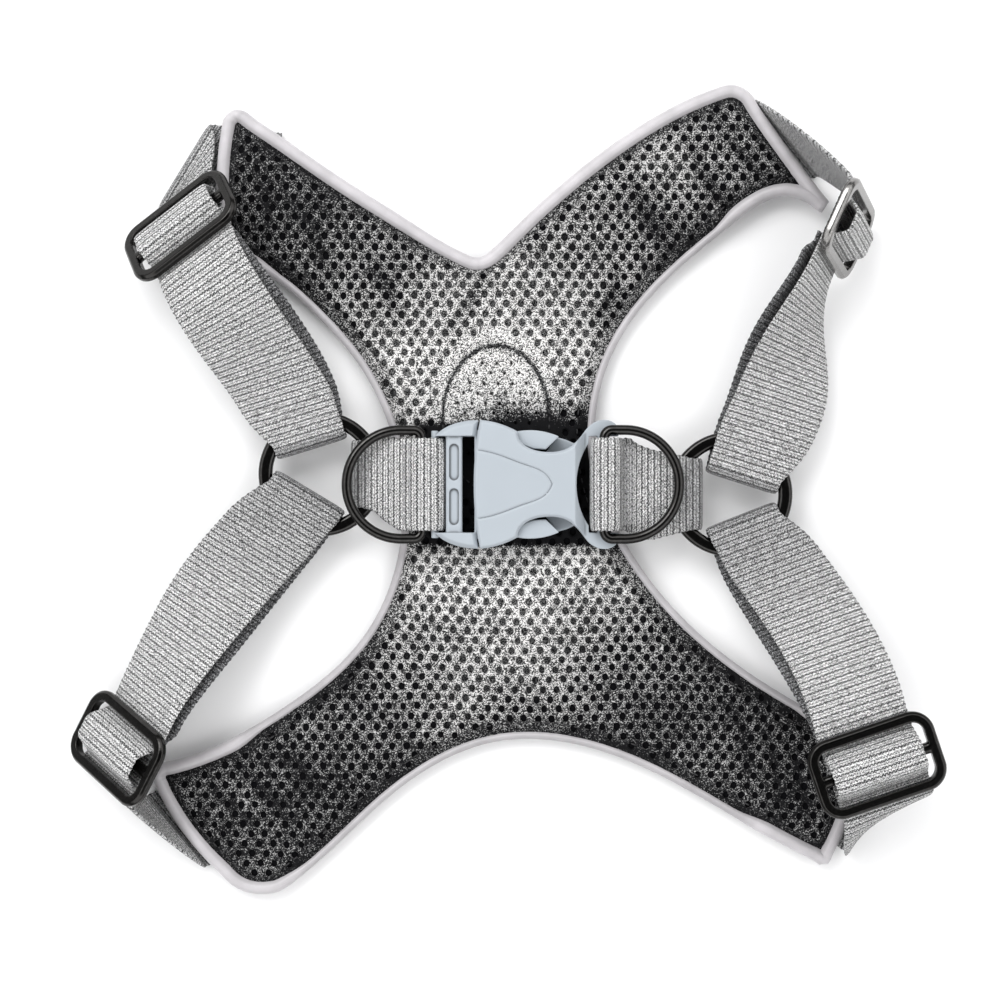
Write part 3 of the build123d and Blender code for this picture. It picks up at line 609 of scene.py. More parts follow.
def body_strap(name, spec):
    """A body strap: sewn end, fold, under its slide, round its ring and back."""
    tip = tip_stations(spec)
    entry = in_slide(spec, -10.6, weave(10.6))
    span = (entry[0] - tip[-1][0]).length
    pull = spec["rise"]
    rise = glide(tip[-1], entry, (span * pull[0], span * pull[1]), 10) + [entry]
    under = [in_slide(spec, u, weave(SLIDE_EXIT)) for u in (-7.0, -3.0, 1.0, 5.0, 8.0)]
    run = main_run(spec)
    back = return_layer(spec, run)
    # painted shade along the strap: the sewn end under the arm tip, a little on the rise, more towards the
    # ring (most on the girth straps, tilted away from the lamp), and the return layer under the top layer
    # darkest
    ring_shade = 0.42 if "girth" in name else 0.16
    painted_shades = [0.55] * len(tip) + [0.12] * len(rise) + [0.0] * len(under)
    painted_shades += [ring_shade * float(smooth((k / (len(run) - 1) - 0.35) / 0.65)) for k in range(len(run))]
    painted_shades += [0.5 + 0.5 * min(k / 6, 1.0) for k in range(len(back))]
    left = "left" in name
    whole = tip + rise + under + run + back
    strap = webbing(name + "_web", whole, painted_shades, None if left else "harness", (name,))
    if left:
        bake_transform(strap)
    hump = [in_slide(spec, u, weave(u) + 0.05, WEB_HALF - 0.15) for u in np.linspace(-7.6, 7.6, 24)]
    slide_name = name.replace("strap", "slide")
    webbing(slide_name + "_web", hump, [0.0] * len(hump), slide_name)


def chain(points):
    """Stations of a strap that lies along X, from (x, z, y, half) points."""
    return [(Vector((x, y, z)), Vector((0, half, 0)), UP) for x, z, y, half in points]


def arc(x, z, radius, start, end, count, y, half=WEB_HALF):
    """Points for chain round a centre, between two angles from +X towards +Z."""
    found = []
    for t in steps(count):
        a = math.radians(start + (end - start) * t)
        found.append((x + radius * math.cos(a), z + radius * math.sin(a), y, half))
    return found


def back_strap_left():
    """From under the tack round the plug's end bar, back over it to the ring, round that and back."""
    y, ring_y, w = BUCKLE_Y, RING_LEFT[1], WEB_HALF
    mid_y = (y + ring_y) / 2
    loop_x = RING_LEFT[0] + 8.1 + WEB_THICK / 2 + WRAP
    top, bottom = RING_Z + WRAP, RING_Z - WRAP
    points = [(-28.7, 9.7, y, w), (-27.5, 10.3, y, w), (-25.6, 9.2, y, w), (-23.6, 8.8, y, w)]
    points += arc(-20.05, BUCKLE_Z, 2.25, -90, 90, 10, y)
    points += [(-21.8, 13.5, y, w), (-23.6, 13.55, y, w), (-25.2, 13.1, y, w), (-26.3, 12.4, y, w)]
    points += [(-28.7, 11.6, y, w), (-30.5, 11.2, y + 0.4, 12.3), (-33.0, 10.5, mid_y, 11.8)]
    points += [(-36.5, top, ring_y, 10.4)]
    lit = len(points)
    points += arc(loop_x, RING_Z, WRAP, 90, 270, 10, ring_y, 9.1)
    points += [(-36.5, bottom, ring_y, 10.4), (-34.2, bottom + 0.1, mid_y, 11.4), (-32.2, 6.5, mid_y, 11.8)]
    points += [(-30.4, 8.3, y, 12.2), (-29.1, 9.5, y, w)]
    # painted shade: the run to the ring light, the return layer round the ring and under it dark
    painted_shades = [0.05] * lit + [0.5] * (len(points) - lit)
    webbing("back_strap_left_web", chain(points), painted_shades, "left_yoke", ("back_strap_left",))


def back_strap_right():
    """From under the tack through the socket's tail, over the D-ring to the ring, round that and back."""
    y, ring_y, w = BUCKLE_Y, RING_RIGHT[1], WEB_HALF
    mid_y = (y + ring_y) / 2
    loop_x = RING_RIGHT[0] - 7.4 - WEB_THICK / 2 - WRAP
    top, bottom = RING_Z + WRAP, RING_Z - WRAP
    points = [(33.4, 8.1, mid_y, w), (31.2, 8.75, y, w), (28.8, 8.85, y, w), (27.0, 8.7, y, w)]
    points += arc(25.0, BUCKLE_Z, 2.45, 270, 180, 6, y) + arc(25.65, 13.7, 3.1, 180, 90, 6, y)
    points += arc(26.6, 13.6, 3.2, 90, 42, 4, y)
    points += [(29.7, 13.4, y, w), (30.6, 11.5, y, w), (32.8, 10.4, y, w), (34.6, 10.0, mid_y, w)]
    points += [(38.0, 10.0, ring_y, 12.4), (43.5, top, ring_y, 11.2)]
    lit = len(points)
    points += arc(loop_x, RING_Z, WRAP, 90, -90, 10, ring_y, 9.7)
    points += [(43.5, bottom + 0.1, ring_y, 11.2), (38.0, 6.4, ring_y, 12.4), (34.0, 7.85, mid_y, w)]
    # painted shade: light over the socket's tail, a little shade where it drops from the D-ring, and the
    # return layer dark
    painted_shades = [0.3 if 29 < p[0] < 33 else 0.08 for p in points[:lit]] + [0.6] * (len(points) - lit)
    flipped = [(centre, half * -1, heading) for centre, half, heading in chain(points)]
    webbing("back_strap_right_web", flipped, painted_shades, "harness", ("back_strap_right",))


def beads(name, spots, body, material, replaces=(), length=1.2, radius=0.24):
    """Stitches: a rounded bead of thread at each (centre, along, up)."""
    points, faces = [], []
    rings = [(-0.5, 0.35), (-0.36, 0.85), (0.0, 1.0), (0.36, 0.85), (0.5, 0.35)]
    sides = 8
    for centre, along, up in spots:
        centre, along, up = (np.asarray(list(v), float) for v in (centre, along, up))
        along /= np.linalg.norm(along)
        side = np.cross(up, along)
        side /= np.linalg.norm(side)
        up = np.cross(along, side)
        base = len(points)
        for t, r in rings:
            for k in range(sides):
                a = 2 * math.pi * k / sides
                spot = centre + along * (t * length) + side * (math.cos(a) * r * radius)
                points.append(spot + up * (math.sin(a) * r * radius - abs(t) * radius * 0.8))
        faces += moved(skin(len(rings), sides), base)
        faces.append(tuple(base + k for k in range(sides - 1, -1, -1)))
        faces.append(tuple(base + (len(rings) - 1) * sides + k for k in range(sides)))
    return new_piece(name, points, faces, body, replaces, material)


def tack_spots(x, z, slope):
    """The bar tack across a back strap, two rows."""
    tilt = math.radians(slope)
    along, up = (math.cos(tilt), 0, math.sin(tilt)), (-math.sin(tilt), 0, math.cos(tilt))
    found = []
    for row in (-0.8, 0.8):
        for k in range(-6, 7):
            centre = np.array((x, BUCKLE_Y + k * 1.7, z)) + np.array(along) * row + np.array(up) * 0.12
            found.append((centre, (0, 1, 0), up))
    return found


# ------------------------------------------------------------ chest plate


def cap_loops(node):
    """The outlines of a flat CAD node's upper face, longest first, in the part's millimetres."""
    work = bmesh.new()
    work.from_mesh(NODES[node].data)
    bmesh.ops.remove_doubles(work, verts=work.verts, dist=1e-6)
    work.normal_update()
    top = {f for f in work.faces if f.normal.z > 0.9}
    follow = {}
    for edge in work.edges:
        if len([f for f in edge.link_faces if f in top]) == 1:
            a, b = edge.verts
            follow.setdefault(a, []).append(b)
            follow.setdefault(b, []).append(a)
    loops, seen = [], set()
    for start in follow:
        if start in seen:
            continue
        loop, here = [], start
        while here is not None:
            seen.add(here)
            loop.append(np.array(here.co) * 1000 - SHIFT)
            here = next((v for v in follow[here] if v not in seen), None)
        loops.append(np.array(loop)[:, :2])
    work.free()
    return sorted(loops, key=len_of, reverse=True)


def len_of(loop):
    """The length of a closed outline."""
    return float(np.linalg.norm(np.diff(np.vstack([loop, loop[:1]]), axis=0), axis=1).sum())


def even_loop(loop, spacing):
    """A closed outline resampled at even spacing, counter-clockwise."""
    area = np.sum(loop[:, 0] * np.roll(loop[:, 1], -1) - np.roll(loop[:, 0], -1) * loop[:, 1])
    loop = loop if area > 0 else loop[::-1]
    closed = np.vstack([loop, loop[:1]])
    at = np.concatenate([[0], np.cumsum(np.linalg.norm(np.diff(closed, axis=0), axis=1))])
    count = int(at[-1] / spacing)
    where = np.linspace(0, at[-1], count, endpoint=False)
    return np.stack([np.interp(where, at, closed[:, k]) for k in (0, 1)], axis=1)


def inwards(loop):
    """Unit vectors into a counter-clockwise outline."""
    along = np.roll(loop, -1, axis=0) - np.roll(loop, 1, axis=0)
    along /= np.linalg.norm(along, axis=1)[:, None]
    return np.stack([-along[:, 1], along[:, 0]], axis=1)


def relaxed(loop, rounds):
    """A closed outline with its corners rounded a little in each round."""
    for _ in range(rounds):
        loop = loop * 0.5 + (np.roll(loop, 1, axis=0) + np.roll(loop, -1, axis=0)) * 0.25
    return loop


def nearest(points, loop):
    """Distance of each point to an outline's samples."""
    found = []
    for k in range(0, len(points), 4000):
        part = points[k:k + 4000]
        found.append(np.sqrt(((part[:, None, :] - loop[None]) ** 2).sum(2).min(1)))
    return np.concatenate(found)


def inside(points, loop):
    """Which points lie in a closed outline."""
    x, y = points[:, 0], points[:, 1]
    odd = np.zeros(len(points), bool)
    for (x0, y0), (x1, y1) in zip(loop, np.roll(loop, -1, axis=0)):
        if y0 == y1:
            continue
        crosses = (y0 > y) != (y1 > y)
        odd ^= crosses & (x < (x1 - x0) * (y - y0) / (y1 - y0) + x0)
    return odd


def turned_under(points):
    """1 where the binding is turned down to the back: the leg cut-outs and the belly edge."""
    x, y = points[:, 0], points[:, 1]
    found = smooth((62.0 + 0.55 * np.abs(x + 8.5) - y) / 5.0)
    for tip_x, tip_y, reach in ((-80, 86, 24), (-88, -94, 27), (93, -87, 23), (78, 92, 22)):
        found = found * smooth((np.hypot(x - tip_x, y - tip_y) - reach) / 9.0)
    return found


TURNED_IN = 0.75
LINING_EDGE = 4.45
PRESSED_RISE = 1.6
FREE_RISE = 1.5
OUTLINE = even_loop(cap_loops("edge_piping")[0], 0.8)
TUBE = PIPING_R - TURNED_IN * turned_under(OUTLINE)
RIM = even_loop(relaxed(OUTLINE + inwards(OUTLINE) * (2 * TUBE - 0.5)[:, None], 3), 1.2)
SEAM_MEAN = 16.0
# start, end, width and depth of each soft crease of the lining
CREASES = [
    ((-5, 62), (-17, 42), 1.6, 0.8), ((-58, 78), (-51, 60), 2.0, 0.5), ((-68, 86), (-66, 70), 1.5, 0.5),
    ((-40, 62), (-30, 46), 2.4, 0.5), ((72, 84), (60, 96), 1.5, 0.6), ((62, 76), (50, 92), 1.8, 0.5),
    ((46, 66), (34, 84), 2.4, 0.4), ((80, -70), (88, -92), 1.2, 0.8), ((75, -66), (82, -92), 1.2, 0.8),
    ((69, -63), (74, -88), 1.3, 0.7), ((62, -60), (65, -82), 1.6, 0.5), ((-82, -80), (-68, -96), 1.3, 0.6),
    ((-74, -76), (-60, -92), 1.5, 0.6), ((-64, -70), (-52, -84), 1.8, 0.5), ((30, 60), (22, 44), 2.2, 0.4),
]


def creased(points):
    """How deep in a crease each point lies, 0 to 1, and by how much it sinks."""
    shade, sink = np.zeros(len(points)), np.zeros(len(points))
    for start, end, width, depth in CREASES:
        start, run = np.array(start, float), np.subtract(end, start).astype(float)
        t = np.clip(((points - start) @ run) / (run @ run), 0, 1)
        bend = np.sin(t * math.pi) * width * 0.8
        side = np.array((-run[1], run[0])) / np.hypot(*run)
        off = np.hypot(*(points - start - t[:, None] * run - bend[:, None] * side).T)
        here = np.exp(-((off / width) ** 2)) * (0.3 + 0.7 * np.sin(t * math.pi))
        shade, sink = np.maximum(shade, here), sink + here * depth
    return shade, sink


def seam_radius(points):
    """1 on the oval seam, less inside it."""
    x = (points[:, 0] - BADGE_CENTRE[0]) / BADGE_HALF[0]
    y = (points[:, 1] - BADGE_CENTRE[1]) / BADGE_HALF[1]
    return np.sqrt(x * x + y * y)


def crown(points):
    """Height of the lining: rounded to the edge, low under the buckle, with soft waves and the oval seam."""
    depth = nearest(points, RIM)
    turned = turned_under(points) * np.exp(-depth / 2.5)
    # the lining is pressed flat under the buckle and free away from it
    dx = np.maximum(np.abs(points[:, 0] - 4.0) - 28.0, 0.0)
    dy = np.maximum(np.abs(points[:, 1] - BUCKLE_Y) - 18.0, 0.0)
    free = smooth(np.hypot(dx, dy) / 14.0)
    height = LINING_EDGE - TURNED_IN * turned + (PRESSED_RISE + FREE_RISE * free) * (1 - np.exp(-depth / 4.2))
    waves = 0.75 * drift(points, 0.045, 3.1) + 0.4 * drift(points, 0.11, 9.4)
    height += free * waves * smooth(depth / 6.0)
    rho = seam_radius(points)
    off = np.abs(rho - 1.0) * SEAM_MEAN
    height -= 0.75 * np.exp(-(off / 0.9) ** 2) * (0.35 + 0.65 * free)
    height += 0.45 * smooth((1.0 - rho) / 0.3) * free
    return height - creased(points)[1] * smooth(depth / 3.0) * (0.3 + 0.7 * free)


def painted_lightness(points):
    """Painted light and shade on the lining: lightest in the middle, least at the tips, below zero in the
    deepest shade.
    """
    x, y = points[:, 0], points[:, 1]
    spread = np.hypot(x + 3.0, (y - 8.0) / 1.25)
    painted_shading = 1.0 - 0.95 * smooth((spread - 24.0) / 50.0)
    # painted light on the upper right arm and on the lower left
    painted_shading += 0.55 * np.exp(-(((x - 44) / 22) ** 2 + ((y - 86) / 15) ** 2))
    painted_shading += 0.20 * np.exp(-(((x + 20) / 34) ** 2 + ((y + 66) / 16) ** 2))
    # painted shade along the binding, in the oval seam's groove and in the creases
    painted_shading -= 0.55 * np.exp(-((nearest(points, OUTLINE) - 3.0) / 2.2) ** 2)
    painted_shading -= 1.3 * np.exp(-((seam_radius(points) - 1.0) * SEAM_MEAN / 0.55) ** 2) + 0.5 * creased(points)[0]
    # the buckle's shade: ragged above it, and even straight under it
    ragged = drift(points, 0.25, 6.2)
    above = np.maximum(np.abs(x - 9.0) - 12.0, 0.0)
    over = np.exp(-(above / 7.0) ** 2 - (np.maximum(y - 18.5, 0.0) / (4.0 + 2.5 * ragged)) ** 2)
    painted_shading -= (1.0 + ragged) * over * smooth((y - 4.0) / 6.0)
    under = np.maximum(np.abs(x - 4.0) - 26.0, 0.0)
    painted_shading -= 2.0 * np.exp(-(under / 3.0) ** 2) * smooth((18.0 - np.abs(y - BUCKLE_Y)) / 3.0)
    return np.clip(painted_shading + 0.22 * drift(points, 0.06, 1.7), -1.0, 1.0)


def triangulated(points, edges):
    """Triangles over points that keep the given edges, with what each output point was."""
    coords = [Vector((float(x), float(y))) for x, y in points]
    verts, _, faces, origin, _, _ = delaunay_2d_cdt(coords, edges, [], 0, 1e-5)
    return np.array([(v.x, v.y) for v in verts]), faces, [o[0] if o else -1 for o in origin]


def ring_edges(start, count):
    """The edges of a closed ring of points."""
    return [(start + k, start + (k + 1) % count) for k in range(count)]


HOLE_SIDES = 12
HOLE_PITCH = 3.85
HOLE_ROW = 2.68
HOLE_SHIFT = 1.72
HOLE_LIP = 0.30


def hole_centres():
    """The air mesh's holes in slanted rows, clear of the rim and the oval seam: (x, y, half width)."""
    rng = random.Random(11)
    low_corner, high_corner = RIM.min(0), RIM.max(0)
    spots = []
    for row in range(int((high_corner[1] - low_corner[1]) / HOLE_ROW)):
        y = low_corner[1] + row * HOLE_ROW
        x = low_corner[0] + (row * HOLE_SHIFT) % HOLE_PITCH
        while x < high_corner[0]:
            sway = 0.9 * noise.noise(Vector((x * 0.03, y * 0.03, 0.4)))
            at_x = x + rng.uniform(-0.12, 0.12)
            at_y = y + sway + rng.uniform(-0.12, 0.12)
            spots.append((at_x, at_y, rng.uniform(0.84, 0.98)))
            x += HOLE_PITCH
    spots = np.array(spots)
    flat = spots[:, :2]
    keep = inside(flat, RIM) & (nearest(flat, RIM) > 2.2)
    rho = seam_radius(flat)
    keep &= np.abs(rho - 1.0) * BADGE_HALF[0] > 2.7
    spots[:, 2] = np.where(rho < 0.95, 0.42, spots[:, 2])
    return spots[keep]


def hole_ring(grow):
    """The points round one hole, about its middle, when its half width is grow."""
    turn = np.arange(HOLE_SIDES) * 2 * math.pi / HOLE_SIDES
    circle = np.stack([np.cos(turn), 1.18 * np.sin(turn)], axis=1)
    return circle * grow


def net_sheet(holes):
    """The flat mesh between the holes: its points, its faces, and where the rim and the holes' rings went."""
    border = len(RIM)
    points, edges, total = [RIM], ring_edges(0, border), border
    for x, y, r in holes:
        points.append(np.array((x, y)) + hole_ring(r + HOLE_LIP))
        edges += ring_edges(total, HOLE_SIDES)
        total += HOLE_SIDES
    # rows of points beside the oval seam, for the shape of its groove
    for offset in (-1.3, -0.8, -0.4, 0.0, 0.4, 0.8, 1.3):
        points.append(oval(1 + offset / 17.0, 0.0, 170)[:, :2])
    flat, faces, origin = triangulated(np.vstack(points), edges)
    # which hole each point is on the edge of, or -1
    owner = np.array([(o - border) // HOLE_SIDES if border <= o < total else -1 for o in origin])
    centroid = np.array([flat[list(f)].mean(0) for f in faces])
    kept = []
    for f, ok in zip(faces, inside(centroid, RIM)):
        owners = {owner[v] for v in f}
        fills_hole = len(owners) == 1 and -1 not in owners
        if ok and not fills_hole:
            kept.append(tuple(f))
    placed = np.full(total, -1)
    for index, o in enumerate(origin):
        if 0 <= o < total:
            placed[o] = index
    return flat, kept, owner, placed[:border], placed[border:].reshape(-1, HOLE_SIDES)


def lining_net():
    """The air mesh: one sheet with real holes whose walls go down to the layer below."""
    holes = hole_centres()
    flat, faces, owner, rim, hole_rims = net_sheet(holes)
    verts = np.column_stack([flat, crown(flat)])
    painted_shades = painted_lightness(flat)
    verts[owner >= 0, 2] -= 0.03
    extra, extra_shading = [], []
    base = len(verts)
    for (x, y, r), edge in zip(holes, hole_rims):
        previous = list(edge)
        for grow, drop in ((0.12, 0.10), (0.0, 0.34), (-0.08, 0.95)):
            here = [base + len(extra) + k for k in range(HOLE_SIDES)]
            extra.extend(np.column_stack([np.array((x, y)) + hole_ring(r + grow), verts[edge, 2] - drop]))
            # painted shade: the hole walls darker the deeper they go
            extra_shading.extend(painted_shades[edge] * (1 - 0.45 * drop))
            for k in range(HOLE_SIDES):
                m = (k + 1) % HOLE_SIDES
                faces.append((previous[m], previous[k], here[k], here[m]))
            previous = here
    # a skirt down into the piping
    skirt = base + len(extra)
    extra.extend(verts[rim] - np.array((0, 0, 1.3)))
    # painted shade on the skirt: half the lining's painted light
    extra_shading.extend(painted_shades[rim] * 0.5)
    for k in range(len(rim)):
        m = (k + 1) % len(rim)
        faces.append((rim[m], rim[k], skirt + k, skirt + m))
    verts = np.vstack([verts, np.array(extra)])
    painted_shades = np.concatenate([painted_shades, extra_shading])
    plain = [[int(v) for v in f] for f in faces]
    settle(new_piece("lining_net", verts, plain, None, ("mesh_lining",), NET, None, painted_shades))


def settle(piece):
    """Drop loose points, turn all faces outwards, and let the piece ride on the harness."""
    work = bmesh.new()
    work.from_mesh(piece.data)
    loose = [v for v in work.verts if not v.link_faces]
    bmesh.ops.delete(work, geom=loose, context="VERTS")
    bmesh.ops.recalc_face_normals(work, faces=work.faces)
    work.to_mesh(piece.data)
    work.free()
    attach(piece, "harness")
    return piece


SLAB_GRID = 2.6


def slab(name, top_of, bottom_of, material, replaces):
    """A closed layer of the plate between two height functions."""
    low_corner, high_corner = RIM.min(0), RIM.max(0)
    xs = np.arange(low_corner[0], high_corner[0], SLAB_GRID)
    ys = np.arange(low_corner[1], high_corner[1], SLAB_GRID)
    grid = np.array([(x + (SLAB_GRID / 2 if j % 2 else 0), y) for j, y in enumerate(ys) for x in xs])
    grid = grid[inside(grid, RIM) & (nearest(grid, RIM) > 0.8)]
    flat, faces, origin = triangulated(np.vstack([RIM, grid]), ring_edges(0, len(RIM)))
    centroid = np.array([flat[list(f)].mean(0) for f in faces])
    kept = [tuple(f) for f, ok in zip(faces, inside(centroid, RIM)) if ok]
    count = len(flat)
    verts = np.vstack([np.column_stack([flat, top_of(flat)]), np.column_stack([flat, bottom_of(flat)])])
    all_faces = kept + [tuple(v + count for v in f[::-1]) for f in kept]
    where = {o: k for k, o in enumerate(origin)}
    rim = [where[k] for k in range(len(RIM))]
    for a, b in zip(rim, rim[1:] + rim[:1]):
        all_faces.append((b, a, a + count, b + count))
    # the lining's painted light and shade, also on the layer seen through its holes
    painted_shades = np.tile(painted_lightness(flat), 2)
    return settle(new_piece(name, verts, all_faces, None, replaces, material, None, painted_shades))


def belly(points):
    """The plate's underside: rounded up at the rim, with soft waves."""
    depth = nearest(points, OUTLINE) - 3.2
    return 1.55 + 1.2 * np.exp(-np.maximum(depth, 0) / 1.6) + 0.12 * drift(points, 0.07, 5.2)


def piping():
    """The bound edge: a satin tube with puckers at the corners and a line where its tape is turned under."""
    spacing, sides = 0.62, 20
    line = even_loop(relaxed(OUTLINE + inwards(OUTLINE) * TUBE[:, None], 3), spacing)
    turned = turned_under(line)
    inner = inwards(line)
    turn = np.cross(np.roll(line, -2, axis=0) - line, line - np.roll(line, 2, axis=0))
    tight = smooth((relaxed(np.abs(turn), 12) - 0.12) / 0.5)
    at = np.arange(len(line)) * spacing
    points, painted_shades = [], []
    for k in range(sides):
        a = 2 * math.pi * k / sides
        inward, upward = math.cos(a), math.sin(a)
        pucker = np.array([noise.noise(Vector((s * 0.85, a * 0.6, 2.0))) for s in at])
        slow = np.array([noise.noise(Vector((s * 0.11, a * 0.4, 7.0))) for s in at])
        top = max(upward, 0.0)
        radius = (PIPING_R - TURNED_IN * turned) * (1 + 0.035 * slow) + (0.05 + 0.42 * tight * top) * pucker
        fold = math.exp(-((math.degrees(a) - 52) / 13) ** 2)
        radius -= 0.16 * fold
        height = PIPING_Z - 0.55 * turned + radius * upward * 0.98
        points.append(np.column_stack([line + inner * (radius * inward)[:, None], height]))
        # painted shade: in the fold line, on the outer side where the tape is turned under, in the puckers of
        # tight corners, and along the inner side next to the lining
        grey = 0.45 * turned * smooth((0.35 - inward) / 0.5)
        pucker_shade = 0.28 * tight * np.clip(-pucker * 2, 0, 1)
        painted_shades.append(0.32 * fold + grey + pucker_shade + (0.25 if inward > 0.75 else 0.0))
    points = np.stack(points, axis=1).reshape(-1, 3)
    painted_shades = np.stack(painted_shades, axis=1).ravel()
    faces = [(a, d, c, b) for a, b, c, d in skin(len(line), sides, closed=True)]
    settle(new_piece("piping_tube", points, faces, None, ("edge_piping",), SATIN, None, painted_shades))


def oval(scale, z, count=120):
    """Points round the oval seam, scaled, at one height."""
    turn = np.arange(count) * 2 * math.pi / count
    flat = np.column_stack([BADGE_CENTRE[0] + BADGE_HALF[0] * scale * np.cos(turn),
                            BADGE_CENTRE[1] + BADGE_HALF[1] * scale * np.sin(turn)])
    return np.column_stack([flat, np.full(count, z)])


def patch():
    """The blank oval patch on the outer face, its rim rounded."""
    count = 96
    profile = [(0.985, BADGE_THICK), (1.0, 1.1), (1.0, 0.45), (0.985, 0.16), (0.955, 0.03), (0.90, 0.0)]
    profile += [(0.86, 0.12), (0.82, 0.0), (0.45, 0.0)]
    points = [(*BADGE_CENTRE, BADGE_THICK)]
    for scale, z in profile:
        points.extend(oval(scale, z, count))
    points.append((*BADGE_CENTRE, 0.0))
    faces = [(0, 1 + (k + 1) % count, 1 + k) for k in range(count)]
    faces += moved(skin(len(profile), count), 1)
    last, base = len(points) - 1, 1 + (len(profile) - 1) * count
    faces += [(base + k, base + (k + 1) % count, last) for k in range(count)]
    settle(new_piece("badge_patch", points, faces, None, ("outer_badge",), PATCH))


def seam_spots(line, z, pitch, up=(0, 0, 1)):
    """Places for stitches along a closed line, at the height that z gives, clear of the piping."""
    line = even_loop(line, pitch)
    along = np.roll(line, -1, axis=0) - np.roll(line, 1, axis=0)
    kept = inside(line, RIM) & (nearest(line, OUTLINE) > 4.2)
    return [((x, y, h), (a, b, 0), up) for (x, y), (a, b), h, ok in zip(line, along, z(line), kept) if ok]


# ------------------------------------------------------------ hardware


MOULD_VOXEL = 0.2


def moulded(node, body, material, rounds):
    """A copy of a CAD node with its edges softened as on a moulded or cast piece."""
    mesh = NODES[node].data.copy()
    mesh.name = node + "_form"
    piece = link(bpy.data.objects.new(node + "_form", mesh))
    remesh = piece.modifiers.new("remesh", "REMESH")
    remesh.mode = "VOXEL"
    remesh.voxel_size = MOULD_VOXEL / 1000
    soften = piece.modifiers.new("soften", "SMOOTH")
    soften.factor = 0.5
    soften.iterations = rounds
    evaluated = piece.evaluated_get(bpy.context.evaluated_depsgraph_get())
    piece.data = bpy.data.meshes.new_from_object(evaluated)
    piece.modifiers.clear()
    piece.data.materials.clear()
    piece.data.materials.append(material)
    piece.data.polygons.foreach_set("use_smooth", [True] * len(piece.data.polygons))
    store_groove_shade(piece.data)
    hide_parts(node)
    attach(piece, body)


def store_groove_shade(mesh):
    """Store how deep in a groove or an inner corner each vertex lies, 0 to 1, as the value that paints shade
    there.
    """
    count = len(mesh.vertices)
    flat = np.zeros(count * 3, np.float32)
    mesh.vertices.foreach_get("co", flat)
    start = flat.reshape(-1, 3).astype(float)
    mesh.vertices.foreach_get("normal", flat)
    normal = flat.reshape(-1, 3)
    ends = np.zeros(len(mesh.edges) * 2, np.int32)
    mesh.edges.foreach_get("vertices", ends)
    a, b = ends.reshape(-1, 2).T
    degree = np.bincount(a, minlength=count) + np.bincount(b, minlength=count)
    here = start
    for _ in range(14):
        sums = [np.bincount(a, here[b, k], count) + np.bincount(b, here[a, k], count) for k in range(3)]
        here = here * 0.5 + np.stack(sums, 1) / np.maximum(degree, 1)[:, None] * 0.5
    depth = ((here - start) * normal).sum(1) * 1000
    layer = mesh.attributes.new("painted_shading", "FLOAT", "POINT")
    layer.data.foreach_set("value", np.clip((depth - 0.015) / 0.09, 0, 1).astype(np.float32))


def dress(node, material):
    """A better material on a CAD node that stays."""
    mesh = NODES[node].data
    mesh.materials.clear()
    mesh.materials.append(material)


# ------------------------------------------------------------ the pieces

for strap_name, strap_spec in STRAPS.items():
    body_strap(strap_name, strap_spec)
back_strap_left()
back_strap_right()
TACKS = (("left", "left_yoke", -27.5, 12.69, 18.4), ("right", "harness", 32.45, 11.36, -25.9))
for side, body, x, z, slope in TACKS:
    spots = tack_spots(x, z, slope)
    beads("back_stitches_" + side, spots, body, THREAD, ("back_stitching_" + side,))

lining_net()
core = slab("pad_core", lambda p: crown(p) - 0.85, lambda p: belly(p) + 0.62, UNDER, ("foam_core",))
slab("shell_cloth", lambda p: belly(p) + 0.55, belly, SHELL, ("outer_shell",))
piping()
patch()
seam_line = oval(1.0, 0.0)[:, :2]
rim_line = relaxed(OUTLINE + inwards(OUTLINE) * 5.0, 4)
seam_stitches = seam_spots(seam_line, lambda p: crown(p) + 0.12, 2.1)
rim_stitches = seam_spots(rim_line, lambda p: crown(p) + 0.05, 2.7)
under_stitches = seam_spots(rim_line, lambda p: belly(p) - 0.04, 2.7, (0, 0, -1))
beads("seam_stitches", seam_stitches, "harness", DARK_THREAD)
beads("rim_stitches", rim_stitches, "harness", DARK_THREAD, length=1.5, radius=0.2)
beads("under_stitches", under_stitches, "harness", THREAD, length=1.5, radius=0.2)

BUCKLE_PARTS = (("buckle_socket", "harness", 3), ("buckle_plug", "left_yoke", 3),
                ("buckle_prong_upper", "prong_upper", 4), ("buckle_prong_lower", "prong_lower", 4))
for buckle_node, body, rounds in BUCKLE_PARTS:
    moulded(buckle_node, body, BUCKLE, rounds)
for strap_name in STRAPS:
    slide_node = strap_name.replace("strap", "slide")
    # painted reflection: the upper right slide gets the brighter copy of the black plating
    plating = BLACK_PAINTED_REFLECTION if slide_node == "neck_slide_right" else BLACK
    moulded(slide_node, slide_node, plating, 2)
for ring_node in ("o_ring_left", "o_ring_right", "d_ring_left", "d_ring_right"):
    dress(ring_node, RING_BLACK)

# ------------------------------------------------------------ floor, light and camera


FLOOR_HALF = 3.0
FLOOR_Z = -0.0003


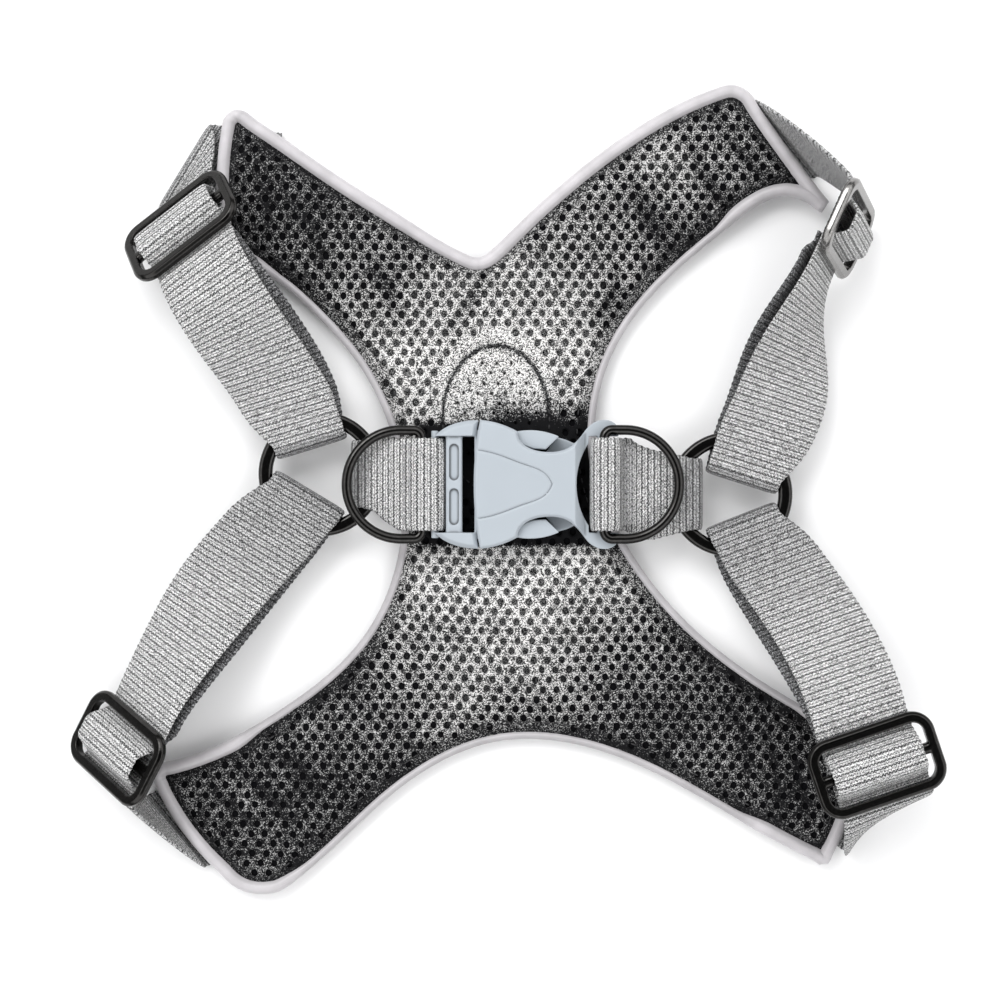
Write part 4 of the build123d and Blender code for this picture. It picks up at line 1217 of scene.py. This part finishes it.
def paper_floor():
    """A large sheet of white paper just under the harness."""
    corners = [(x * FLOOR_HALF, y * FLOOR_HALF, FLOOR_Z) for x, y in ((-1, -1), (1, -1), (1, 1), (-1, 1))]
    sheet = bpy.data.meshes.new("floor")
    sheet.from_pydata(corners, [], [(0, 1, 2, 3)])
    link(bpy.data.objects.new("floor", sheet))
    paper = Shade("paper", Roughness=0.9, Base_Color=(0.93, 0.93, 0.935, 1), Specular_IOR_Level=0.2)
    sheet.materials.append(paper.material)


def sky():
    """A white dome, dark at its zenith and near the horizon, which gives metal something to reflect."""
    world = bpy.data.worlds.new("sky")
    bpy.context.scene.world = world
    world.use_nodes = True
    tree = world.node_tree
    where = tree.nodes.new("ShaderNodeTexCoord")
    parts = tree.nodes.new("ShaderNodeSeparateXYZ")
    ramp = tree.nodes.new("ShaderNodeValToRGB")
    background = tree.nodes["Background"]
    tree.links.new(where.outputs["Generated"], parts.inputs[0])
    tree.links.new(parts.outputs[2], ramp.inputs[0])
    tree.links.new(ramp.outputs[0], background.inputs[0])
    fill_ramp(ramp, ((0.0, 0.10), (0.26, 0.14), (0.42, 0.95), (0.84, 1.0), (0.93, 0.04)))
    background.inputs[1].default_value = 1.85


def softbox():
    """One soft lamp above and to the upper left."""
    lamp = bpy.data.lights.new("softbox", "AREA")
    lamp.shape = "RECTANGLE"
    lamp.size, lamp.size_y = 0.9, 0.6
    lamp.energy = 7.0
    box = link(bpy.data.objects.new("softbox", lamp))
    box.location = (-0.45, 0.75, 0.95)
    box.rotation_euler = (Vector((0, 0, 0)) - box.location).to_track_quat("-Z", "Y").to_euler()


def camera_above():
    """Half a metre above the buckle, looking straight down."""
    camera = link(bpy.data.objects.new("camera", bpy.data.cameras.new("camera")))
    camera.data.sensor_width = 36.0
    camera.data.lens = 65.07
    camera.data.clip_start = 0.01
    x, y, _ = metres([(-2.43, -3.1, 0.0)])[0]
    camera.location = (x, y, 0.5)
    bpy.context.scene.camera = camera


paper_floor()
sky()
softbox()
camera_above()
bpy.context.scene.view_settings.view_transform = "Standard"
